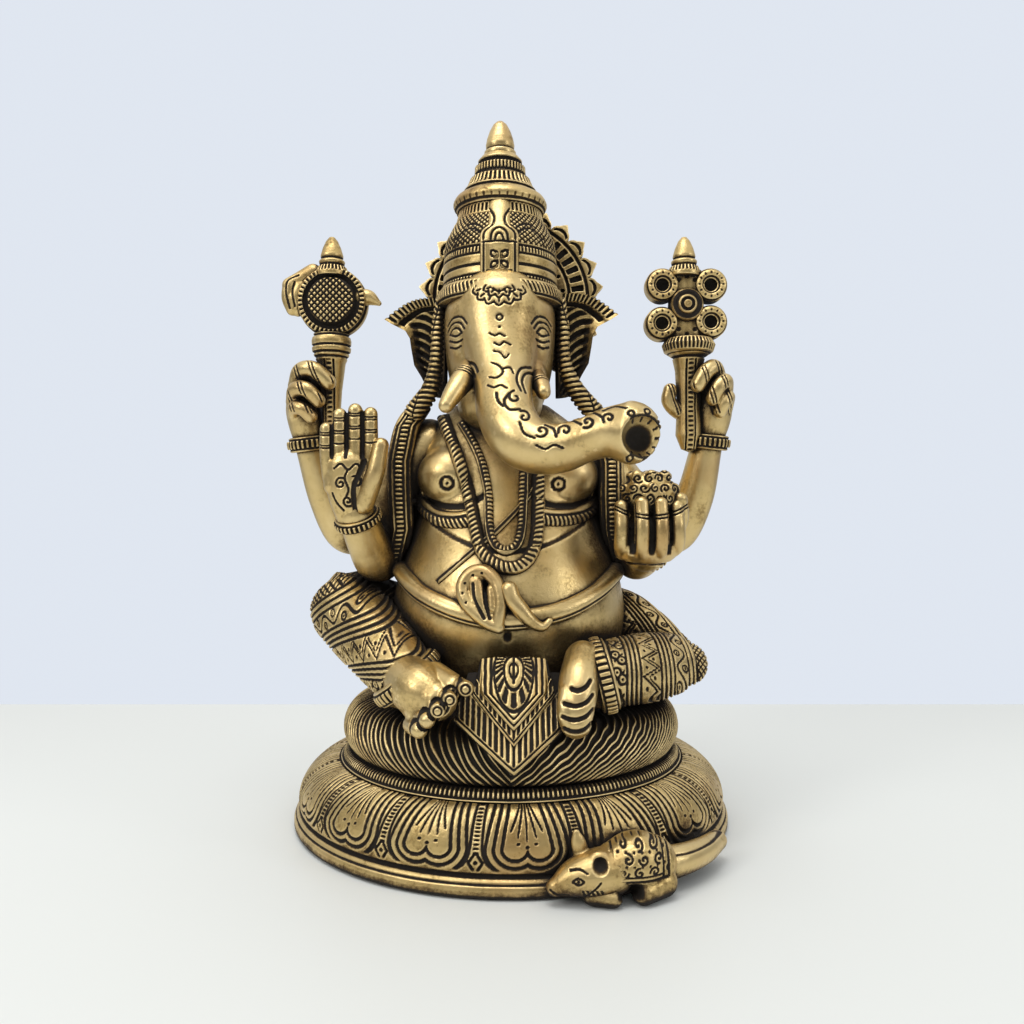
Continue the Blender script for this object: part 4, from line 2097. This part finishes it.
mouse_head = [
    tube(
        [(33.0, -89.0, 10.0), (27.0, -90.6, 9.6), (20.4, -91.6, 8.4), (14.4, -93.0, 6.2)],
        [7.8, 7.6, 6.0, 3.0],
    ),
    tube([(23.4, -88.5, 14.0), (22.0, -89.0, 19.4), (21.4, -89.0, 22.2)], [2.8, 2.4, 1.2], flat=0.7),
    ball((28.6, -93.2, 14.0), (4.2, 2.4, 4.0), 20),
]
cast(
    "mouse_head_brass",
    ["mouse_head"],
    CHASED,
    mouse_head,
    mouse_face,
    depth=0.5,
    voxel=0.36,
    relax=2,
    press=ear_cup,
)


def tail_lines(p, n):
    return 0.7 * both(
        stroke(p[:, 2] - 12.6 + 0.05 * (p[:, 0] - 54), 0.4),
        stroke(p[:, 2] - 5.0, 0.4),
    ) * (p[:, 0] > 55)


mouse_tail = tube(
    [(50.0, -81.0, 8.6), (58.0, -77.4, 8.8), (67.0, -69.0, 8.4), (74.6, -58.6, 8.2)],
    [5.8, 5.2, 4.6, 3.6],
)
cast("mouse_tail_brass", ["mouse_tail"], POLISHED, [mouse_tail], tail_lines, depth=0.5, voxel=0.4, relax=2)

# ---------------------------------------------------------------- table, light and camera

TABLE_EDGE = 0.198


def plain(name, colour, roughness):
    material = bpy.data.materials.new(name)
    material.use_nodes = True
    tree = material.node_tree
    shader = tree.nodes["Principled BSDF"]
    cloud = add(tree, "ShaderNodeTexNoise", Scale=3.0, Detail=2.0)
    tree.links.new(add(tree, "ShaderNodeTexCoord").outputs["Object"], cloud.inputs["Vector"])
    darker = tuple(0.97 * c for c in colour)
    tree.links.new(mix(tree, cloud.outputs[0], colour, darker), shader.inputs["Base Color"])
    shader.inputs["Roughness"].default_value = roughness
    return material


def slab(name, low, high, material):
    (x0, y0, z0), (x1, y1, z1) = low, high
    mesh = bpy.data.meshes.new(name)
    corners = [(x, y, z) for z in (z0, z1) for y in (y0, y1) for x in (x0, x1)]
    mesh.from_pydata(
        corners,
        [],
        [(0, 2, 3, 1), (4, 5, 7, 6), (0, 1, 5, 4), (2, 6, 7, 3), (0, 4, 6, 2), (1, 3, 7, 5)],
    )
    mesh.materials.append(material)
    made = bpy.data.objects.new(name, mesh)
    bpy.context.scene.collection.objects.link(made)
    return made


slab(
    "table_top",
    (-2.0, -2.0, -0.03),
    (2.0, TABLE_EDGE, 0.0),
    plain("table_paint", (0.76, 0.775, 0.75), 0.5),
)


def area_light(name, place, aim, size, power, colour=(1, 1, 1)):
    lamp = bpy.data.lights.new(name, "AREA")
    lamp.shape = "RECTANGLE"
    lamp.size, lamp.size_y = size
    lamp.energy = power
    lamp.color = colour
    holder = bpy.data.objects.new(name, lamp)
    holder.location = place
    holder.rotation_euler = (Vector(aim) - Vector(place)).to_track_quat("-Z", "Y").to_euler()
    bpy.context.scene.collection.objects.link(holder)


area_light("ceiling_panel", (-0.10, -0.30, 1.0), (0, 0, 0.1), (0.55, 0.40), 3.2)
area_light("window", (-0.85, -0.75, 0.75), (0, 0, 0.12), (0.30, 0.45), 3.4, (1.0, 0.99, 0.97))
area_light("fill_card", (0.9, -0.5, 0.5), (0, 0, 0.12), (0.25, 0.40), 1.2, (0.95, 0.97, 1.0))

world = bpy.data.worlds.new("room")
world.use_nodes = True
bpy.context.scene.world = world
room = world.node_tree
sky = room.nodes["Background"]
toward = add(room, "ShaderNodeSeparateXYZ")
room.links.new(add(room, "ShaderNodeTexCoord").outputs["Generated"], toward.inputs[0])
ceiling = spread(room, toward.outputs["Z"], 0.05, 0.75)
behind = spread(room, toward.outputs["Y"], -0.3, 0.8)
walls = mix(room, behind, (0.06, 0.052, 0.042), (0.50, 0.53, 0.58))
studio = mix(room, ceiling, walls, (0.92, 0.93, 0.93))
seen = add(room, "ShaderNodeLightPath").outputs["Is Camera Ray"]
room.links.new(mix(room, seen, studio, (0.745, 0.795, 0.875)), sky.inputs["Color"])
sky.inputs["Strength"].default_value = 1.0

camera_data = bpy.data.cameras.new("camera")
camera_data.sensor_width = 36.0
camera_data.lens = 860 / 1024 * 36.0
camera = bpy.data.objects.new("camera", camera_data)
camera.location = (0.0004, -0.370, 0.127)
camera.rotation_euler = (math.radians(90), 0, 0)
bpy.context.scene.collection.objects.link(camera)
bpy.context.scene.camera = camera
bpy.context.scene.view_settings.view_transform = "Standard"
